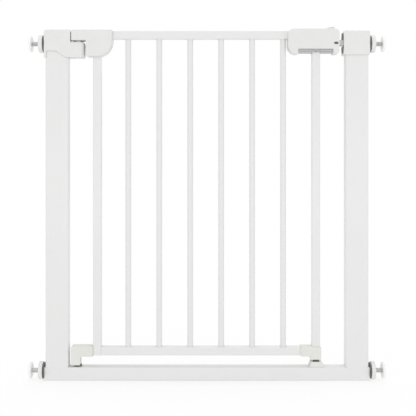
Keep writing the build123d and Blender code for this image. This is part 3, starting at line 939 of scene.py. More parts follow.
# ---------------------------------------------------------------------------
# Pressure spindles
# ---------------------------------------------------------------------------
@dataclass
class SpindleSet(SubAssembly):
    """The bush, threaded rod, hand wheel and wall pad, made once and copied to each corner."""

    pitch: float = 3.0 * MM
    thread_depth: float = 0.9 * MM
    thread_steps: int = 20
    wheel_sides: int = 96
    flute_faces: int = 4
    flute_depth: float = 1.0 * MM
    rim_round: float = 1.2 * MM
    wheel_rings: tuple[Ring, ...] = (
        (2.6 * MM, 0.0),
        (0.8 * MM, -1.1 * MM),
        (4.6 * MM, 0.0),
        (0.8 * MM, 1.1 * MM),
    )
    pad_dome: float = 1.6 * MM
    cup_collar: float = 5.6 * MM
    cup_step: Ring = (0.5 * MM, -0.6 * MM)
    rubber_rings: tuple[Ring, ...] = (
        (2.2 * MM, 0.0),
        (0.4 * MM, -0.8 * MM),
        (1.0 * MM, 0.0),
        (0.4 * MM, 0.8 * MM),
    ) * 3
    bush_rings: tuple[Ring, ...] = (
        (2.0 * MM, 0.0),
        (0.5 * MM, -0.5 * MM),
        (1.2 * MM, 0.0),
        (0.5 * MM, 0.5 * MM),
    )
    barrel_radius: float = 7.0 * MM
    barrel_lap: float = 0.5 * MM
    bore_gap: float = 0.3 * MM
    home: str = "upper_right"

    def build(self) -> None:
        """Build one set at the upper right and put a copy in every corner."""
        makers = {
            # The bush's dark finish is painted shade of the gap between each wheel and its post.
            "bush": (self.bush, DARK_PLASTIC_AND_PAINTED_SHADE),
            "rod": (self.rod, ZINC_STEEL),
            "wheel": (self.wheel, WHEEL_PLASTIC),
            # The cups' brighter finish partly paints the light on their faces.
            "pad_cup": (self.pad_cup, CUP_PLASTIC_WITH_PAINTED_LIGHT),
            "pad_rubber": (self.pad_rubber, PAD_RUBBER),
        }
        for part, (maker, finish) in makers.items():
            master = maker()
            for level in ("upper", "lower"):
                for side in Side:
                    self.put(master, part, level, side, finish)
            bpy.data.objects.remove(master, do_unlink=True)

    def put(self, master: Piece, part: str, level: str, side: Side, finish: Finish) -> None:
        """Copy a master to one corner.

        Args:
            master: The piece at the upper right.
            part: Its part name.
            level: upper or lower.
            side: The end of the gate.
            finish: Its surface finish.
        """
        corner = f"{level}_{side.name.lower()}"
        body = {"bush": "frame", "wheel": f"{corner}_nut"}.get(part, f"{corner}_spindle")
        rise = Extent.of(f"{corner}_rod").centre.z - Extent.of(f"{self.home}_rod").centre.z
        twin = Bench.copy(master, f"{corner}_{part}_piece", Vector((0, 0, rise)), side is Side.LEFT)
        self.place(twin, body, finish, f"{corner}_{part}")

    def span(self, part: str) -> tuple[Vector, Vector, float]:
        """Return the two ends of a home part's axis, and its radius.

        Args:
            part: The part's name.

        Returns:
            The end nearer the middle of the gate, the other end and the radius.
        """
        extent = Extent.of(f"{self.home}_{part}")
        centre = extent.centre
        start = Vector((extent.low.x, centre.y, centre.z))
        end = Vector((extent.high.x, centre.y, centre.z))
        return start, end, extent.size.z / 2

    def round_blank(self, part: str, sides: int = 64) -> Piece:
        """Return a cylinder over the whole of a home part, as a start for shaping."""
        start, end, radius = self.span(part)
        return Bench.cylinder(part, start, end, radius, sides)

    def bore(self, piece: Piece, part: str) -> Piece:
        """Drill a piece for the rod, right through.

        Args:
            piece: The piece.
            part: Its part name.

        Returns:
            The piece.
        """
        start, end, _ = self.span(part)
        reach = Vector((0.01, 0, 0))
        return Bench.cut_hole(
            piece, start - reach, end + reach, self.span("rod")[2] + self.bore_gap, 40
        )

    def rod(self) -> Piece:
        """A rod with a real helical thread, cut square at both ends.

        Returns:
            The rod at the upper right.
        """
        start, end, crest = self.span("rod")
        root = crest - self.thread_depth
        profile = (
            (0.0, root),
            (0.12, root),
            (0.42, crest),
            (0.58, crest),
            (0.88, root),
            (1.0, root),
        )
        points = [Vector((x * self.pitch, 0, r)) for x, r in profile]
        Bench.clear()
        bpy.ops.mesh.primitive_plane_add(size=0.01)
        rod = bpy.context.object
        with Bench.editing(rod, "VERT"):
            bpy.ops.mesh.select_all(action="SELECT")
            bpy.ops.mesh.merge(type="CENTER")
            bpy.ops.transform.translate(value=points[0])
            for near, far in zip(points, points[1:]):
                bpy.ops.mesh.extrude_region_move(TRANSFORM_OT_translate={"value": far - near})
        turns = math.ceil((end.x - start.x) / self.pitch) + 3
        winding = rod.modifiers.new("thread", "SCREW")
        winding.axis = "X"
        winding.angle = math.tau
        winding.screw_offset = self.pitch
        winding.iterations = turns
        winding.steps = winding.render_steps = self.thread_steps
        winding.use_merge_vertices = True
        winding.merge_threshold = 1e-6
        Bench.take(rod)
        bpy.ops.object.modifier_apply(modifier=winding.name)
        rod.location = start - Vector((2 * self.pitch, 0, 0))
        bpy.ops.object.transform_apply(location=True, rotation=True, scale=True)
        with Bench.editing(rod):
            bpy.ops.mesh.select_all(action="SELECT")
            bpy.ops.mesh.remove_doubles(threshold=2e-6)
            for cut, outward in ((start, -1), (end, 1)):
                bpy.ops.mesh.select_all(action="SELECT")
                bpy.ops.mesh.bisect(
                    plane_co=cut, plane_no=(outward, 0, 0), use_fill=True, clear_outer=True
                )
        return rod

    def wheel(self) -> Piece:
        """A hand wheel with blind flutes round its rim and a dished hub on both faces.

        Returns:
            The wheel at the upper right.
        """
        wheel = self.round_blank("wheel", self.wheel_sides)
        axis, end, _ = self.span("wheel")
        Bench.rims(wheel, 0, (axis.x, end.x), self.rim_round)
        step = math.tau / self.wheel_sides

        def in_flute(centre: Vector, normal: Vector) -> bool:
            angle = math.atan2(centre.z - axis.z, centre.y - axis.y) % math.tau
            return abs(normal.x) < 0.1 and int(angle / step) % self.flute_faces < 2

        Bench.inset(wheel, in_flute, 0.25 * MM, -self.flute_depth)
        self.step_ends(wheel, axis, 0, self.wheel_rings)
        return self.bore(wheel, "wheel")

    @staticmethod
    def step_ends(piece: Piece, axis: Vector, outward: int, rings: Sequence[Ring]) -> None:
        """Step the round end faces that a piece's axis passes through, ring by ring.

        Args:
            piece: The round piece.
            axis: A point on its axis, which runs along X.
            outward: -1 or 1 for the end that looks to that side of X, or 0 for both.
            rings: Each step's width, and how far the middle rises, or sinks when negative.
        """

        def is_end(centre: Vector, normal: Vector) -> bool:
            facing = normal.x * outward if outward else abs(normal.x)
            off = math.hypot(centre.y - axis.y, centre.z - axis.z)
            return facing > 0.95 and off < 0.1 * MM

        for thickness, depth in rings:
            Bench.inset(piece, is_end, thickness, depth)

    def pad_cup(self) -> Piece:
        """A domed disc, with a collar where the rod enters.

        Returns:
            The cup at the upper right.
        """
        cup = self.round_blank("pad_cup")
        start, _, radius = self.span("pad_cup")
        Bench.rims(cup, 0, (start.x,), self.pad_dome, 6)
        collar = (radius - self.pad_dome - self.cup_collar, 0.0)
        self.step_ends(cup, start, -1, (collar, self.cup_step))
        return cup

    def pad_rubber(self) -> Piece:
        """A rubber disc with ring grooves in the face that grips the wall.

        Returns:
            The disc at the upper right.
        """
        rubber = self.round_blank("pad_rubber")
        _, end, _ = self.span("pad_rubber")
        Bench.rims(rubber, 0, (end.x,), 1.3 * MM)
        self.step_ends(rubber, end, 1, self.rubber_rings)
        return rubber

    def bush(self) -> Piece:
        """A flanged bush: a chamfered flange with a ring groove, and its barrel, finished dark as
        painted shade of the gap between wheel and post.

        Returns:
            The bush at the upper right.
        """
        start, end, radius = self.span("bush")
        flange_start = Vector((Extent.of("right_rail_cap").high.x, start.y, start.z))
        bush = Bench.cylinder("bush", flange_start, end, radius, 72)
        Bench.rims(bush, 0, (end.x,), 1.1 * MM, 3)
        self.step_ends(bush, end, 1, self.bush_rings)
        barrel_end = flange_start + Vector((self.barrel_lap, 0, 0))
        barrel = Bench.cylinder("barrel", start, barrel_end, self.barrel_radius)
        Bench.rims(barrel, 0, (start.x,), 0.6 * MM, 2)
        Bench.combine(bush, barrel, Join.ADD)
        return self.bore(bush, "bush")


# ---------------------------------------------------------------------------
# Moulded covers
# ---------------------------------------------------------------------------
@dataclass
class Moulding(SubAssembly):
    """What the moulded plastic covers share: rims, screw seats and parting lines."""

    rim: float = 1.3 * MM
    rim_steps: int = 4
    seam: float = 0.12 * MM
    seat_radius: float = 3.15 * MM
    seat_depth: float = 2.0 * MM
    shank_radius: float = 1.7 * MM
    slack: float = 0.1 * MM
    post_half: float = 12.6 * MM
    axle_radius: float = 7.1 * MM
    wall_front: float = 8.0 * MM
    wall_seat_depth: float = 1.6 * MM
    wall_seat_radius: float = 3.4 * MM

    def cover(self, name: str, corners: Sequence[Corner], half: float) -> Piece:
        """Return a rounded solid over an outline, from depth -half to half.

        Args:
            name: The cover's name.
            corners: The outline as (x, z, corner radius).
            half: Half of its depth.

        Returns:
            The solid.
        """
        cover = Bench.plate(name, corners, -half, half)
        Bench.rims(cover, 1, (-half, half), self.rim, self.rim_steps)
        return cover

    def screw_seats(self, piece: Piece, spots: Sequence[Spot], back: float) -> None:
        """Counterbore the back of a cover for its screws.

        Args:
            piece: The cover.
            spots: Where each screw stands, as (x, z).
            back: The depth of the cover's back face.
        """
        for x, z in spots:
            Bench.cut_hole(piece, (x, 0.4 * MM, z), (x, back + MM, z), self.shank_radius, 20)
            seat = back - self.seat_depth
            Bench.cut_hole(piece, (x, seat, z), (x, back + MM, z), self.seat_radius, 32)

    def wall_seats(self, piece: Piece, spots: Sequence[Spot], back: float) -> None:
        """Counterbore a housing's back wall, which starts behind the post.

        Args:
            piece: The housing.
            spots: Where each screw stands, as (x, z).
            back: The depth of the housing's back face.
        """
        shank = self.shank_radius + self.slack
        for x, z in spots:
            Bench.cut_hole(piece, (x, self.wall_front, z), (x, back + MM, z), shank, 20)
            seat = back - self.wall_seat_depth
            Bench.cut_hole(piece, (x, seat, z), (x, back + MM, z), self.wall_seat_radius, 32)

    def hug_post(self, piece: Piece, side: Side, low: float, axle_way: Span) -> None:
        """Hollow a housing for its post, and open its end for the spindle's bush.

        Args:
            piece: The housing.
            side: The end of the gate.
            low: The height that the hollow starts at.
            axle_way: Where the opening for the bush starts and ends along X.
        """
        post = Extent.of(f"{side.name.lower()}_post")
        axle = Extent.of(f"upper_{side.name.lower()}_rod").centre
        cavity = Bench.block(
            "post_cavity",
            (post.low.x - self.slack, -self.post_half, low),
            (post.high.x + self.slack, self.post_half, post.high.z),
        )
        Bench.combine(piece, cavity, Join.CUT)
        start, end = ((x, axle.y, axle.z) for x in axle_way)
        Bench.cut_hole(piece, start, end, self.axle_radius, 40)

    def shells(self, piece: Piece, names: tuple[str, str]) -> tuple[Piece, Piece]:
        """Split a cover into a front and a back shell with a fine seam between them."""
        return Bench.halves(piece, names, 0.0, self.seam)


@dataclass
class LatchHandle(Moulding):
    """The squeeze handle: two shells, the trigger, the thumb slider and the window."""

    wall: float = 2.6 * MM
    top_left: float = 13.0 * MM
    top_right: float = 8.5 * MM
    lip_right: float = 6.5 * MM
    lip_left: float = 19.0 * MM
    lip_inner: float = 1.8 * MM
    mouth_gap: float = 0.6 * MM
    mouth_corner: float = 1.0 * MM
    tube_hole: float = 18.3 * MM
    groove: float = 1.5 * MM
    groove_depth: float = 1.3 * MM
    centre_rise: float = 2.2 * MM
    grip_pitch: float = 2.1 * MM
    grip_rise: float = 2.6 * MM
    floor_rise: float = 7.5 * MM
    post_radius: float = 3.5 * MM
    mouth_rise: float = 7.6 * MM
    trigger_rise: float = 8.7 * MM
    wings: Span = (6.0 * MM, 5.4 * MM)
    wing_height: float = 4.0 * MM
    wing_half: float = 8.0 * MM
    stile_gap: float = 0.8 * MM
    pocket_ends: Span = (0.226, 0.253)
    pin_front: float = -13.4 * MM
    pin_radius: float = 2.1 * MM
    cam_ends: Span = (0.2545, 0.275)
    cam_half: float = 2.5 * MM
    cam_path: Span = (0.271, 0.2626)
    cam_reach: float = 2.35 * MM
    thumb_way: Span = (0.2544, 0.2766)
    thumb_half: float = 3.4 * MM
    neck_ends: Span = (0.260, 0.276)
    keeper_ends: Span = (0.2565, 0.278)
    keeper_levels: Span = (0.7664, 0.7691)
    release_lift: float = 7.0 * MM
    spring_wire: float = 0.6 * MM
    spring_sides: int = 12
    spring_turns: int = 8
    spring_steps: int = 28
    screws: tuple[Spot, ...] = (
        (0.1868, 0.739),
        (0.2218, 0.743),
        (0.284, 0.7575),
    )

    def build(self) -> None:
        """Build every piece of the handle."""
        self.housing()
        self.trigger()
        self.spring()
        self.slider()
        self.window()

    def spring(self) -> None:
        """The return spring, wound from round wire."""
        box = Extent.of("release_spring")
        wire, turns = self.spring_wire, self.spring_turns
        Bench.clear()
        bpy.ops.mesh.primitive_circle_add(
            vertices=self.spring_sides, radius=wire, rotation=(math.pi / 2, 0, 0)
        )
        spring = Bench.named("return_spring")
        with Bench.editing(spring, "VERT"):
            bpy.ops.mesh.select_all(action="SELECT")
            bpy.ops.transform.translate(value=(box.size.x / 2 - wire, 0, 0))
        winding = spring.modifiers.new("coil", "SCREW")
        winding.axis = "Z"
        winding.angle = math.tau
        winding.screw_offset = (box.size.z - 2 * wire) / turns
        winding.iterations = turns
        winding.steps = winding.render_steps = self.spring_steps
        Bench.take(spring)
        bpy.ops.object.modifier_apply(modifier=winding.name)
        spring.location = Vector((box.centre.x, box.centre.y, box.low.z + wire))
        bpy.ops.object.transform_apply(location=True, rotation=True, scale=True)
        with Bench.editing(spring, "EDGE"):
            bpy.ops.mesh.select_all(action="SELECT")
            bpy.ops.mesh.fill_holes(sides=0)
        self.place(spring, "release", ZINC_STEEL, "release_spring")
        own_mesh(spring)

    def housing(self) -> None:
        """The two shells, hollow, with their mouth, holes and screw seats."""
        shell = Extent.of("handle_front", "handle_back")
        panel = self.panel_span()
        mouth_top = self.mouth_height()
        left, right = panel[0] - self.mouth_gap, panel[1] + self.mouth_gap
        low, high = shell.low.z, shell.high.z
        half = shell.high.y
        outline = (
            (shell.low.x, high, self.top_left),
            (shell.high.x, high, self.top_right),
            (shell.high.x, low, self.lip_right),
            (right, low, self.lip_inner),
            (right, mouth_top, self.mouth_corner),
            (left, mouth_top, self.mouth_corner),
            (left, low, self.lip_inner),
            (shell.low.x, low, self.lip_left),
        )
        housing = self.cover("handle_shell", outline, half)
        inner = half - self.wall
        floor = low + self.floor_rise
        hollow = (
            (shell.low.x + self.wall, high - self.wall, self.top_left - 2 * MM),
            (shell.high.x - self.wall, high - self.wall, self.top_right - 2.5 * MM),
            (shell.high.x - self.wall, floor, 2 * MM),
            (right - self.slack, floor, 0.0),
            (right - self.slack, low - 10 * MM, 0.0),
            (left + self.slack, low - 10 * MM, 0.0),
            (left + self.slack, floor, 0.0),
            (shell.low.x + self.wall, floor, 8 * MM),
        )
        Bench.combine(housing, Bench.plate("hollow", hollow, -inner, inner), Join.CUT)
        for x, z in self.screws:
            reach = inner + 0.3 * MM
            post = Bench.cylinder("screw_post", (x, -reach, z), (x, reach, z), self.post_radius, 28)
            Bench.combine(housing, post, Join.ADD)
        self.openings(housing, shell)
        self.screw_seats(housing, self.screws, half)
        for piece, node in zip(
            self.shells(housing, ("handle_front_shell", "handle_back_shell")),
            ("handle_front", "handle_back"),
        ):
            self.place(piece, "door", WHITE_PLASTIC, node)

    def mouth_height(self) -> float:
        """Return the height of the mouth's upper edge, a little under the trigger's top."""
        return Extent.of("trigger_bar").low.z + self.mouth_rise

    def panel_span(self) -> tuple[float, float]:
        """Return the left and right end of the trigger's grip, without its wings."""
        bar = Extent.of("trigger_bar")
        return bar.low.x + self.wings[0], bar.high.x - self.wings[1]

    def openings(self, housing: Piece, shell: Extent) -> None:
        """Cut the holes for the top rail, the bolt, the slider's neck and the window.

        Args:
            housing: The whole handle, before it is split.
            shell: The box around both shells.
        """
        rail = Extent.of("door_top_rail")
        half = self.tube_hole / 2
        tube = Bench.block(
            "tube_hole",
            (shell.low.x - 8 * MM, -half, rail.centre.z - half),
            (shell.low.x + 17 * MM, half, rail.centre.z + half),
        )
        Bench.round_edges(tube, self.runs_along_x, 2.0 * MM)
        Bench.combine(housing, tube, Join.CUT)
        bolt = Extent.of("latch_bolt")
        slack = Vector((0, 0.4, 0.4)) * MM
        Bench.cut_block(
            housing,
            Vector((shell.high.x - 6 * MM, bolt.low.y, bolt.low.z)) - slack,
            Vector((shell.high.x + 3 * MM, bolt.high.y, bolt.high.z)) + slack,
        )
        Bench.cut_block(
            housing,
            (self.thumb_way[0], -self.thumb_half, shell.high.z - 7 * MM),
            (self.thumb_way[1], self.thumb_half, shell.high.z + 3 * MM),
        )
        window = Extent.of("indicator_window")
        slot = self.pill("slot", window, 0.12 * MM, -18 * MM, -13 * MM)
        Bench.combine(housing, slot, Join.CUT)

    @staticmethod
    def runs_along_x(a: Vector, b: Vector) -> bool:
        """Tell whether an edge runs along X."""
        return abs(a.y - b.y) < 1e-6 and abs(a.z - b.z) < 1e-6

    @staticmethod
    def pill(name: str, window: Extent, slack: float, front: float, back: float) -> Piece:
        """Return a round-ended prism around the window's outline.

        Args:
            name: The prism's name.
            window: The box around the window.
            slack: How far outside the window it runs.
            front: The depth of its face.
            back: The depth that it reaches to.

        Returns:
            The prism.
        """
        x0, x1 = window.low.x - slack, window.high.x + slack
        z0, z1 = window.low.z - slack, window.high.z + slack
        radius = (z1 - z0) / 2 * 0.999
        corners = ((x0, z0, radius), (x1, z0, radius), (x1, z1, radius), (x0, z1, radius))
        return Bench.plate(name, corners, front, back)

    def trigger(self) -> None:
        """The squeezed bar: three grip panels, wings, pockets, spring peg and cam plate."""
        bar = Extent.of("trigger_bar")
        stile = Extent.of("latch_stile")
        pin = Extent.of("cross_pin").centre
        left, right = self.panel_span()
        top = bar.low.z + self.trigger_rise
        trigger = Bench.block("trigger", (left, bar.low.y, bar.low.z), (right, bar.high.y, top))
        Bench.rims(trigger, 2, (bar.low.z,), 1.5 * MM)
        gap = self.stile_gap
        Bench.cut_block(
            trigger,
            (stile.low.x - gap, stile.low.y - gap, bar.low.z - MM),
            (stile.high.x + gap, stile.high.y + gap, top + MM),
        )
        seams = (stile.low.x + 0.8 * MM, stile.high.x - 0.8 * MM)
        front = bar.low.y
        Bench.cut_block(
            trigger,
            (seams[0], front - MM, bar.low.z - MM),
            (seams[1], stile.low.y - gap + 0.2 * MM, bar.low.z + self.centre_rise),
        )
        for x in seams:
            Bench.cut_block(
                trigger,
                (x - self.groove / 2, front - MM, bar.low.z - MM),
                (x + self.groove / 2, front + self.groove_depth, top + MM),
            )
        self.grip(trigger, left, right, seams, front, bar.low.z)
        for x0, x1 in (
            (left + 3 * MM, self.pocket_ends[0]),
            (self.pocket_ends[1], right - 3 * MM),
        ):
            Bench.cut_block(
                trigger,
                (x0, bar.low.y + 2.5 * MM, bar.low.z + 3 * MM),
                (x1, bar.high.y - 2.5 * MM, top + MM),
            )
        wing = top - self.wing_height
        for x0, x1 in ((bar.low.x, left + MM), (right - MM, bar.high.x)):
            ear = Bench.block("wing", (x0, -self.wing_half, wing), (x1, self.wing_half, top))
            Bench.combine(trigger, ear, Join.ADD)
        spring = Extent.of("release_spring").centre
        peg = Bench.cylinder(
            "peg",
            (spring.x, spring.y, bar.low.z + 2 * MM),
            (spring.x, spring.y, bar.low.z + 11.8 * MM),
            2.5 * MM,
            28,
        )
        Bench.combine(trigger, peg, Join.ADD)
        Bench.combine(trigger, self.cam_plate(bar), Join.ADD)
        Bench.cut_hole(
            trigger, (pin.x, self.pin_front, pin.z), (pin.x, 15 * MM, pin.z), self.pin_radius, 24
        )
        self.place(trigger, "release", GREY_PLASTIC, "trigger_bar")

    def grip(
        self,
        trigger: Piece,
        left: float,
        right: float,
        seams: tuple[float, float],
        front: float,
        low: float,
    ) -> None:
        """Cut a border in each of the trigger's three panels, and grip lines in the outer two.

        Args:
            trigger: The trigger.
            left: The left end of its grip.
            right: The right end of its grip.
            seams: Where the grooves between the panels run.
            front: The depth of its face.
            low: The height of its underside.
        """
        for start, end, rise in (
            (left, seams[0], 0.0),
            (seams[0], seams[1], self.centre_rise),
            (seams[1], right, 0.0),
        ):
            for height in (low + rise + 1.0 * MM, low + 6.3 * MM):
                Bench.cut_block(
                    trigger,
                    (start + 1.2 * MM, front - MM, height),
                    (end - 1.2 * MM, front + 1.2 * MM, height + 1.0 * MM),
                )
        for start, end in ((left, seams[0]), (seams[1], right)):
            count = int((end - start - 6 * MM) / self.grip_pitch)
            first = (start + end - (count - 1) * self.grip_pitch) / 2
            for index in range(count):
                x = first + index * self.grip_pitch
                Bench.cut_block(
                    trigger,
                    (x - 0.3 * MM, front - MM, low + self.grip_rise),
                    (x + 0.3 * MM, front + 0.35 * MM, low + 6.0 * MM),
                )

    def cam_plate(self, bar: Extent) -> Piece:
        """The upright plate whose slanted slot pulls the bolt.

        Args:
            bar: The box around the trigger.

        Returns:
            The plate.
        """
        plate = Bench.block(
            "cam_plate",
            (self.cam_ends[0], -self.cam_half, bar.low.z + 2 * MM),
            (self.cam_ends[1], self.cam_half, bar.high.z),
        )
        Bench.round_edges(
            plate,
            lambda a, b: abs(a.x - b.x) < 1e-6 and abs(a.z - b.z) < 1e-6 and a.z > bar.high.z - MM,
            1.5 * MM,
        )
        bolt = Extent.of("latch_bolt").centre.z
        start = Vector((self.cam_path[0], 0, bolt))
        end = Vector((self.cam_path[1], 0, bolt - self.release_lift))
        along = (end - start).normalized()
        across = Vector((-along.z, 0, along.x)) * self.cam_reach
        reach = along * self.cam_reach
        near, far = start - reach, end + reach
        corners = (near + across, far + across, far - across, near - across)
        slot = Bench.plate("cam_slot", [(c.x, c.z, 2.34 * MM) for c in corners], -4 * MM, 4 * MM)
        return Bench.combine(plate, slot, Join.CUT)

    def slider(self) -> None:
        """The thumb slider: a ramped and grooved button, its neck and its keeper plate, with a grey
        strip on its peak as painted shade at its raised end.
        """
        box = Extent.of("thumb_slider")
        handle = Extent.of("handle_front")
        foot = handle.high.z + 0.3 * MM
        outline = (
            (box.low.x, foot, 0.0),
            (box.low.x, foot + 0.8 * MM, 0.5 * MM),
            (box.low.x + 9 * MM, foot + 2.4 * MM, 5 * MM),
            (box.high.x - 0.6 * MM, box.high.z, 0.8 * MM),
            (box.high.x, foot, 0.0),
        )
        button = Bench.plate("slider", outline, box.low.y, box.high.y)
        Bench.rims(button, 1, (box.low.y, box.high.y), 0.6 * MM, 3)
        for index in range(4):
            x = box.high.x - (3.4 + 2.2 * index) * MM
            Bench.cut_block(
                button,
                (x - 0.4 * MM, box.low.y + 1.2 * MM, box.high.z - (1.1 + 0.38 * index) * MM),
                (x + 0.4 * MM, box.high.y - 1.2 * MM, box.high.z + MM),
            )
        neck = Bench.block(
            "neck",
            (self.neck_ends[0], -3 * MM, self.keeper_levels[1] - 0.3 * MM),
            (self.neck_ends[1], 3 * MM, foot + 0.5 * MM),
        )
        keeper = Bench.block(
            "keeper",
            (self.keeper_ends[0], -6 * MM, self.keeper_levels[0]),
            (self.keeper_ends[1], 6 * MM, self.keeper_levels[1]),
        )
        Bench.round_edges(keeper, self.runs_along_x, 0.5 * MM, 2)
        Bench.combine(neck, keeper, Join.ADD)
        Bench.combine(button, neck, Join.ADD)
        self.place(button, "thumb", WHITE_PLASTIC, "thumb_slider")
        # A grey strip over the ramp's peak: painted shade at the slider's raised end.
        painted_shade_strip = (
            (box.low.x + 11 * MM, foot + 1.7 * MM, 0.0),
            (box.low.x + 11 * MM, foot + 2.9 * MM, 0.3 * MM),
            (box.high.x - MM, box.high.z + 0.15 * MM, 0.4 * MM),
            (box.high.x - MM, box.high.z - 1.3 * MM, 0.0),
        )
        front, back = box.low.y - self.slack, box.high.y + self.slack
        grip = Bench.plate("thumb_grip", painted_shade_strip, front, back)
        Bench.rims(grip, 1, (front, back), 0.25 * MM, 2)
        self.place(grip, "thumb", GREY_PLASTIC)

    def window(self) -> None:
        """The small dark window, crowned a little inside its slot."""
        box = Extent.of("indicator_window")
        window = self.pill("indicator_lens", box, 0.0, box.low.y, box.high.y)
        Bench.rims(window, 1, (box.low.y,), 0.35 * MM, 3)
        Bench.inset(window, lambda c, n: n.y < -0.95, 0.8 * MM, -0.15 * MM)
        self.place(window, "door", DARK_PLASTIC_AND_PAINTED_SHADE, "indicator_window")


@dataclass
class FrameWelds(SubAssembly):
    """The ground welds that fill the groove where each post stands on the bottom rail."""

    proud: float = 0.04 * MM
    lap: float = 0.3 * MM
    radius: float = 2.5 * MM

    def build(self) -> None:
        """Lay a bead along the front and the back of each post's foot."""
        for side in ("left", "right"):
            post = Extent.of(f"{side}_post")
            for face, sign in (("front", -1.0), ("rear", 1.0)):
                outer = sign * (post.high.y + self.proud)
                inner = sign * (post.high.y - self.radius)
                foot = post.low.z - self.radius - self.lap
                bead = Bench.block(
                    f"{side}_{face}_weld",
                    (post.low.x + self.radius, min(outer, inner), foot),
                    (post.high.x - self.radius, max(outer, inner), post.low.z + self.lap),
                )
                Bench.rims(bead, 1, (outer,), self.proud / 2, 2)
                self.place(bead, "frame", POWDER_COAT)


@dataclass
class HingeHead(Moulding):
    """The covers of the upper hinge: the fixed housing and the door's two cap shells."""

    rim: float = 1.2 * MM
    housing_screws: tuple[Spot, ...] = ((-0.318, 0.731), (-0.340, 0.756))
    cap_screws: tuple[Spot, ...] = ((-0.2578, 0.727), (-0.220, 0.741))
    seam_end: float = -0.2992
    leg_end: float = -0.311
    step: Spot = (-0.330, 0.724)
    tab_low: float = 0.7095
    hair: float = 0.03 * MM
    knuckle_start: float = -0.3035
    knuckle_top: float = 0.7435
    cavity_low: float = 0.69
    axle_way: Span = (-0.375, -0.345)
    pin_way: Span = (0.713, 0.76)
    pin_radius: float = 4.05 * MM
    arm_end: float = -0.265
    arm_low: float = 0.7467
    arm_way: Span = (0.740, 0.765)
    arm_radius: float = 4.1 * MM
    pocket: tuple[Spot, Spot] = ((-0.2305, 0.734), (-0.211, 0.749))
    post_radius: float = 3.6 * MM
    shell_end: float = -0.2619
    shell_levels: Span = (0.70, 0.78)
    turn_radius: float = 14.5 * MM
    turn_levels: Span = (0.69, 0.79)

    def build(self) -> None:
        """Build the housing on the post and the cap on the door."""
        self.housing()
        self.cap()

    def housing(self) -> None:
        """The housing that hugs the post's top and carries the fixed knuckle."""
        box = Extent.of("hinge_housing")
        post = Extent.of("left_post")
        pin = Extent.of("hinge_pin").centre
        half = box.high.y
        tab = post.low.x + 2 * MM
        outline = (
            (box.low.x, box.high.z, 5 * MM),
            (self.seam_end, box.high.z, 1.2 * MM),
            (self.seam_end, box.low.z, 0.0),
            (self.leg_end, box.low.z, 9 * MM),
            (*self.step, 9 * MM),
            (tab, self.step[1], 2 * MM),
            (tab, self.tab_low, 0.0),
            (box.low.x, self.tab_low, 1.5 * MM),
        )
        housing = self.cover("hinge_head_cover", outline, half)
        knuckle = Bench.block(
            "knuckle",
            (self.knuckle_start, -half + self.hair, box.low.z + self.hair),
            (box.high.x, half - self.hair, self.knuckle_top),
        )

        def at_free_end(a: Vector, b: Vector) -> bool:
            level = abs(a.x - box.high.x) < 1e-6 and abs(b.x - a.x) < 1e-6
            return level and abs(a.y - b.y) < 1e-6

        Bench.round_edges(knuckle, at_free_end, 10 * MM, 8)
        Bench.rims(knuckle, 2, (self.knuckle_top,), 4.5 * MM, 7)
        Bench.rims(knuckle, 2, (box.low.z + self.hair,), 1.2 * MM, 3)
        Bench.combine(housing, knuckle, Join.ADD)
        self.hug_post(housing, Side.LEFT, self.cavity_low, self.axle_way)
        low, high = ((pin.x, 0, z) for z in self.pin_way)
        Bench.cut_hole(housing, low, high, self.pin_radius, 32)
        self.wall_seats(housing, self.housing_screws, half)
        self.place(housing, "frame", WHITE_PLASTIC, "hinge_housing")

    def cap(self) -> None:
        """The door's cap: a front shell with the arm over the pin, and a back shell."""
        box = Extent.of("hinge_cap_front", "hinge_cap_back")
        pin = Extent.of("hinge_pin").centre
        half = abs(box.low.y)
        outline = (
            (box.low.x, box.high.z, 4 * MM),
            (box.high.x, box.high.z, 1.5 * MM),
            (box.high.x, box.low.z, 35 * MM),
            (self.arm_end, box.low.z, 3 * MM),
            (self.arm_end, self.arm_low, 0.0),
            (box.low.x, self.arm_low, 1.5 * MM),
        )
        cap = self.cover("hinge_cap", outline, half)
        stile = Extent.of("hinge_stile")
        rail = Extent.of("door_top_rail")
        slack = self.slack
        bottom, top = self.shell_levels
        Bench.cut_block(
            cap,
            (stile.low.x - slack, stile.low.y - slack, bottom),
            (stile.high.x + slack, stile.high.y + slack, stile.high.z + slack),
        )
        Bench.cut_block(
            cap,
            (stile.centre.x, rail.low.y - slack, rail.low.z - slack),
            (-0.20, rail.high.y + slack, rail.high.z + slack),
        )
        (x0, z0), (x1, z1) = self.pocket
        Bench.cut_block(cap, (x0, -13.5 * MM, z0), (x1, 13.5 * MM, z1))
        x, z = self.cap_screws[1]
        reach = 13.8 * MM
        post = Bench.cylinder("screw_post", (x, -reach, z), (x, reach, z), self.post_radius, 28)
        Bench.combine(cap, post, Join.ADD)
        self.screw_seats(cap, self.cap_screws, half)
        front = Bench.copy(cap, "hinge_cap_front_shell", Vector((0, 0, 0)))
        rear = Bench.block("rear", (self.shell_end, self.seam, bottom), (-0.20, 0.02, top))
        back = Bench.combine(cap, rear, Join.KEEP)
        back.name = back.data.name = "hinge_cap_back_shell"
        Bench.cut_block(front, (-0.262, -self.seam, bottom), (-0.19, 0.02, top))
        self.clear_sweep(front, box, pin)
        low, high = ((pin.x, 0, z) for z in self.arm_way)
        Bench.cut_hole(front, low, high, self.arm_radius, 32)
        self.place(front, "door", WHITE_PLASTIC, "hinge_cap_front")
        self.place(back, "door", WHITE_PLASTIC, "hinge_cap_back")

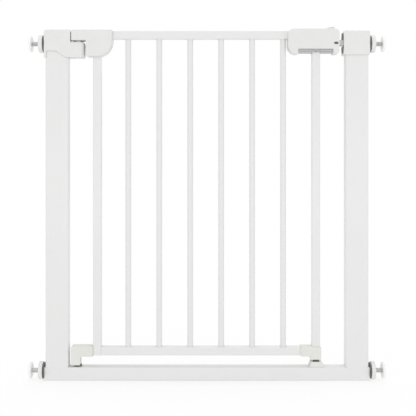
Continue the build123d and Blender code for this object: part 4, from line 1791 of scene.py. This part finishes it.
    def clear_sweep(self, front: Piece, box: Extent, pin: Vector) -> None:
        """Take off the arm's rear corner, which would meet the housing as the door swings.

        Args:
            front: The cap's front shell.
            box: The box around the whole cap.
            pin: The middle of the hinge pin.
        """
        bottom, top = self.shell_levels
        low, high = self.turn_levels
        sweep = Bench.block("sweep", (-0.300, 0.0, bottom), (-0.262, 0.02, top))
        keep = Bench.cylinder("turn", (pin.x, 0, low), (pin.x, 0, high), self.turn_radius, 72)
        left = Bench.block("left", (box.low.x, -0.001, low), (pin.x, 0.015, high))
        Bench.combine(keep, left, Join.KEEP)
        straight = Bench.block(
            "straight", (pin.x - 0.05 * MM, -0.001, low), (-0.2615, self.turn_radius, high)
        )
        Bench.combine(keep, straight, Join.ADD)
        Bench.combine(sweep, keep, Join.CUT)
        Bench.combine(front, sweep, Join.CUT)


@dataclass
class Catch(Moulding):
    """The catch on the right post: its cover and the lining of its mouth, whose dark finish is
    painted shade inside the mouth.
    """

    screws: tuple[Spot, ...] = ((0.318, 0.731), (0.340, 0.756))
    clearance: float = 0.8 * MM
    cavity_low: float = 0.70
    axle_way: Span = (0.345, 0.375)

    def build(self) -> None:
        """Build the cover and the lining."""
        box = Extent.of("catch_housing")
        lining = Extent.of("catch_insert")
        bolt = Extent.of("latch_bolt")
        mouth = (bolt.low.z - self.clearance, bolt.high.z + self.clearance)
        half = box.high.y
        outline = (
            (box.low.x, box.low.z, 3 * MM),
            (box.low.x, box.high.z, 3 * MM),
            (box.high.x, box.high.z, 4 * MM),
            (box.high.x, box.low.z, 3 * MM),
        )
        cover = self.cover("catch_cover", outline, half)
        self.hug_post(cover, Side.RIGHT, self.cavity_low, self.axle_way)
        recess = self.rounded_bar("recess", box.low.x - MM, lining.high.x, lining, self.slack)
        Bench.combine(cover, recess, Join.CUT)
        Bench.cut_block(
            cover, (box.low.x - MM, 5 * MM, mouth[0]), (lining.high.x, half + MM, mouth[1])
        )
        self.wall_seats(cover, self.screws, half)
        self.place(cover, "frame", WHITE_PLASTIC, "catch_housing")
        # The lining is dark as painted shade inside the catch's mouth.
        insert = self.rounded_bar("catch_lining", lining.low.x, lining.high.x, lining, 0.0)
        Bench.rims(insert, 0, (lining.low.x,), 0.8 * MM, 3)
        Bench.cut_block(
            insert,
            (lining.low.x - MM, -9 * MM, mouth[0]),
            (lining.high.x + MM, 16 * MM, mouth[1]),
        )
        self.place(insert, "frame", DARK_PLASTIC_AND_PAINTED_SHADE, "catch_insert")

    @staticmethod
    def rounded_bar(name: str, start: float, end: float, section: Extent, slack: float) -> Piece:
        """Return a bar along X whose section is the lining's, with large round corners.

        Args:
            name: The bar's name.
            start: Where it starts along X.
            end: Where it ends along X.
            section: The box around the lining.
            slack: How far outside the lining it runs.

        Returns:
            The bar.
        """
        bar = Bench.block(
            name,
            (start, section.low.y - slack, section.low.z - slack),
            (end, section.high.y + slack, section.high.z + slack),
        )
        Bench.round_edges(bar, LatchHandle.runs_along_x, 12.9 * MM, 10)
        return bar


@dataclass
class Feet(Moulding):
    """The door's two lower corners and the striker on the rail."""

    rim: float = 0.9 * MM
    leg_end: float = -0.2786
    leg_top: float = 0.0527
    tongue_half: float = 7.0 * MM
    pivot_way: Span = (0.030, 0.060)
    elbow_low: float = 0.0534
    elbow_end: float = 0.227
    bolt_way: Span = (0.040, 0.056)
    bolt_gap: float = 0.3 * MM
    wedge_top: Span = (0.229, 0.2507)
    slot_half: float = 7.3 * MM
    slot_levels: Span = (0.033, 0.045)
    peg_spread: float = 11.0 * MM
    peg_radius: float = 2.5 * MM

    def build(self) -> None:
        """Build the pivot foot, the latch elbow and the striker."""
        self.pivot_foot()
        self.latch_elbow()
        self.striker()

    def pivot_foot(self) -> None:
        """The moulding that turns on the lower pin, with its tongue in the stile."""
        box = Extent.of("pivot_foot")
        stile = Extent.of("hinge_stile")
        pin = Extent.of("pivot_pin")
        leg, underside, end = self.leg_end, self.leg_top, stile.low.x
        outline = (
            (box.low.x, box.low.z, 1.2 * MM),
            (box.low.x, box.high.z, 3 * MM),
            (end, box.high.z, 0.0),
            (end, underside, 0.0),
            (leg, underside, 5 * MM),
            (leg, box.low.z, 0.8 * MM),
        )
        foot = self.cover("pivot_foot_body", outline, box.high.y)
        rail = Extent.of("door_bottom_rail").centre.z
        half = self.tongue_half
        tongue = Bench.block(
            "tongue", (end - MM, -half, rail - half), (box.high.x, half, rail + half)
        )
        Bench.rims(tongue, 0, (box.high.x,), 1.2 * MM, 2)
        Bench.combine(foot, tongue, Join.ADD)
        low, high = ((pin.centre.x, 0, z) for z in self.pivot_way)
        Bench.cut_hole(foot, low, high, pin.size.x / 2 + self.slack, 36)
        self.place(foot, "door", IVORY_PLASTIC, "pivot_foot")

    def latch_elbow(self) -> None:
        """The two shells round the corner of the latch stile and the bottom rail."""
        box = Extent.of("latch_foot_front", "latch_foot_back")
        stile = Extent.of("latch_stile")
        rail = Extent.of("door_bottom_rail")
        bolt = Extent.of("floor_bolt")
        outline = (
            (box.low.x, self.elbow_low, 1 * MM),
            (box.low.x, box.high.z, 1 * MM),
            (box.high.x, box.high.z, 2.5 * MM),
            (box.high.x, box.low.z, 1.5 * MM),
            (self.elbow_end, box.low.z, 1.5 * MM),
            (self.elbow_end, self.elbow_low, 2 * MM),
        )
        elbow = self.cover("latch_elbow", outline, box.high.y)
        slack = self.slack
        Bench.cut_block(
            elbow,
            (stile.low.x - slack, stile.low.y - slack, stile.low.z - slack),
            (stile.high.x + slack, stile.high.y + slack, 0.08),
        )
        Bench.cut_block(
            elbow,
            (0.200, rail.low.y - slack, rail.low.z - slack),
            (stile.centre.x, rail.high.y + slack, rail.high.z + slack),
        )
        guide = self.bolt_gap
        Bench.cut_block(
            elbow,
            (bolt.low.x - guide, bolt.low.y - guide, self.bolt_way[0]),
            (bolt.high.x + guide, bolt.high.y + guide, self.bolt_way[1]),
        )
        for piece, node in zip(
            self.shells(elbow, ("latch_elbow_front", "latch_elbow_back")),
            ("latch_foot_front", "latch_foot_back"),
        ):
            self.place(piece, "door", IVORY_PLASTIC, node)

    def striker(self) -> None:
        """The wedge with its slot for the floor bolt, and two locating pegs below."""
        box = Extent.of("floor_striker")
        stile = Extent.of("latch_stile").centre.x
        seat = Extent.of("bottom_rail").high.z
        outline = (
            (box.low.x, seat, 0.0),
            (self.wedge_top[0], box.high.z, 1 * MM),
            (self.wedge_top[1], box.high.z, 2 * MM),
            (box.high.x, seat, 0.0),
        )
        wedge = Bench.plate("striker_wedge", outline, box.low.y, box.high.y)
        Bench.rims(wedge, 1, (box.low.y, box.high.y), 0.6 * MM, 3)
        Bench.cut_block(
            wedge,
            (stile - self.slot_half, -8 * MM, self.slot_levels[0]),
            (stile + self.slot_half, 13 * MM, self.slot_levels[1]),
        )
        for x in (stile - self.peg_spread, stile + self.peg_spread):
            foot, head = (x, 0, box.low.z), (x, 0, seat + MM)
            peg = Bench.cylinder("peg", foot, head, self.peg_radius, 24)
            Bench.combine(wedge, peg, Join.ADD)
        self.place(wedge, "frame", IVORY_PLASTIC, "floor_striker")


# ---------------------------------------------------------------------------
# Studio
# ---------------------------------------------------------------------------
@dataclass
class Studio:
    """The floor, the lights and the camera."""

    eye: tuple[float, float, float] = (0.0022, -1.6125, 0.506)
    lens: float = 63.2
    shift: float = -0.139
    floor_radius: float = 9.0
    white: float = 1.0
    ambient: float = 0.80

    def build(self) -> None:
        """Build the whole studio."""
        self.floor()
        self.sky()
        self.lamp("key_softbox", (-1.3, -2.2, 2.3), (1.6, 1.2), 10.0)
        self.lamp("fill_softbox", (1.8, -1.9, 1.2), (1.2, 1.4), 5.0)
        self.lamp("low_softbox", (0.0, -2.2, 0.35), (2.0, 0.5), 4.0)
        self.lamp("top_softbox", (0.0, 0.4, 2.6), (2.4, 1.4), 15.0)
        self.lamp("back_softbox", (0.6, 2.4, 1.6), (1.8, 1.4), 4.0)
        self.camera()
        scene = bpy.context.scene
        scene.view_settings.view_transform = "Standard"
        scene.view_settings.look = "None"

    def floor(self) -> None:
        """A pale round floor that melts into the white surround."""
        Bench.clear()
        bpy.ops.mesh.primitive_circle_add(vertices=96, radius=self.floor_radius, fill_type="NGON")
        floor = Bench.named("studio_floor")
        material = bpy.data.materials.new("studio_floor")
        material.use_nodes = True
        nodes, links = material.node_tree.nodes, material.node_tree.links
        near = nodes["Principled BSDF"]
        near.inputs["Base Color"].default_value = (0.93, 0.93, 0.93, 1.0)
        near.inputs["Roughness"].default_value = 0.9
        near.inputs["Specular IOR Level"].default_value = 0.1
        far = nodes.new("ShaderNodeEmission")
        far.inputs["Color"].default_value = (1.0, 1.0, 1.0, 1.0)
        far.inputs["Strength"].default_value = self.white
        where = nodes.new("ShaderNodeTexCoord")
        reach = nodes.new("ShaderNodeVectorMath")
        reach.operation = "LENGTH"
        fade = nodes.new("ShaderNodeMapRange")
        fade.interpolation_type = "SMOOTHSTEP"
        fade.inputs["From Min"].default_value = 0.02
        fade.inputs["From Max"].default_value = 0.75
        fade.inputs["To Min"].default_value = 0.55
        mix = nodes.new("ShaderNodeMixShader")
        links.new(where.outputs["Object"], reach.inputs[0])
        links.new(reach.outputs["Value"], fade.inputs["Value"])
        links.new(fade.outputs["Result"], mix.inputs[0])
        links.new(near.outputs[0], mix.inputs[1])
        links.new(far.outputs[0], mix.inputs[2])
        links.new(mix.outputs[0], nodes["Material Output"].inputs["Surface"])
        floor.data.materials.append(material)

    def sky(self) -> None:
        """An even white surround."""
        world = bpy.data.worlds.new("studio_surround")
        world.use_nodes = True
        nodes, links = world.node_tree.nodes, world.node_tree.links
        surround = nodes["Background"]
        surround.inputs["Color"].default_value = (1.0, 1.0, 1.0, 1.0)
        seen = nodes.new("ShaderNodeLightPath")
        level = nodes.new("ShaderNodeMapRange")
        level.inputs["To Min"].default_value = self.ambient
        level.inputs["To Max"].default_value = self.white
        links.new(seen.outputs["Is Camera Ray"], level.inputs["Value"])
        links.new(level.outputs["Result"], surround.inputs["Strength"])
        bpy.context.scene.world = world

    def lamp(
        self, name: str, place: Corner, size: tuple[float, float], watts: float
    ) -> None:
        """Hang a soft rectangular lamp that looks at the gate's middle.

        Args:
            name: The lamp's name.
            place: Where it hangs.
            size: Its width and height.
            watts: Its power.
        """
        data = bpy.data.lights.new(name, "AREA")
        data.shape = "RECTANGLE"
        data.size, data.size_y = size
        data.energy = watts
        lamp = bpy.data.objects.new(name, data)
        lamp.location = place
        target = Vector((0.0, 0.0, 0.4))
        lamp.rotation_euler = (target - Vector(place)).to_track_quat("-Z", "Y").to_euler()
        bpy.context.collection.objects.link(lamp)

    def camera(self) -> None:
        """A level camera in front of the gate, framed by a small vertical shift."""
        data = bpy.data.cameras.new("front_camera")
        data.lens = self.lens
        data.shift_y = self.shift
        camera = bpy.data.objects.new("front_camera", data)
        camera.location = self.eye
        camera.rotation_euler = (math.radians(90), 0.0, 0.0)
        bpy.context.collection.objects.link(camera)
        bpy.context.scene.camera = camera


CAD_FINISHES = {
    "powder_coat": POWDER_COAT,
    "white_plastic": WHITE_PLASTIC,
    "ivory_plastic": IVORY_PLASTIC,
    "grey_plastic": GREY_PLASTIC,
    "dark_plastic": DARK_PLASTIC_AND_PAINTED_SHADE,
    "bright_steel": ZINC_STEEL,
    "pad_rubber": PAD_RUBBER,
}


def dress_cad_nodes(frame: dict, wardrobe: Wardrobe) -> None:
    """Give every CAD node the finish of its record slot.

    Args:
        wardrobe: The finishes.
    """
    for subpart in frame["record"]["subparts"]:
        node = frame["nodes"][subpart["node"]]
        wardrobe.redress(node, CAD_FINISHES[subpart["material_slot"]])


def main() -> None:
    """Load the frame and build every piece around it."""
    logging.basicConfig(level=logging.INFO, format="%(name)s %(message)s")
    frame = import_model()
    wardrobe = Wardrobe()
    wardrobe.stock()
    dress_cad_nodes(frame, wardrobe)
    for assembly in (SpindleSet, FrameWelds, HingeHead, LatchHandle, Catch, Feet):
        LOG.info("building %s", assembly.__name__)
        assembly(wardrobe).build()
    Studio().build()


if __name__ == "__main__":
    main()
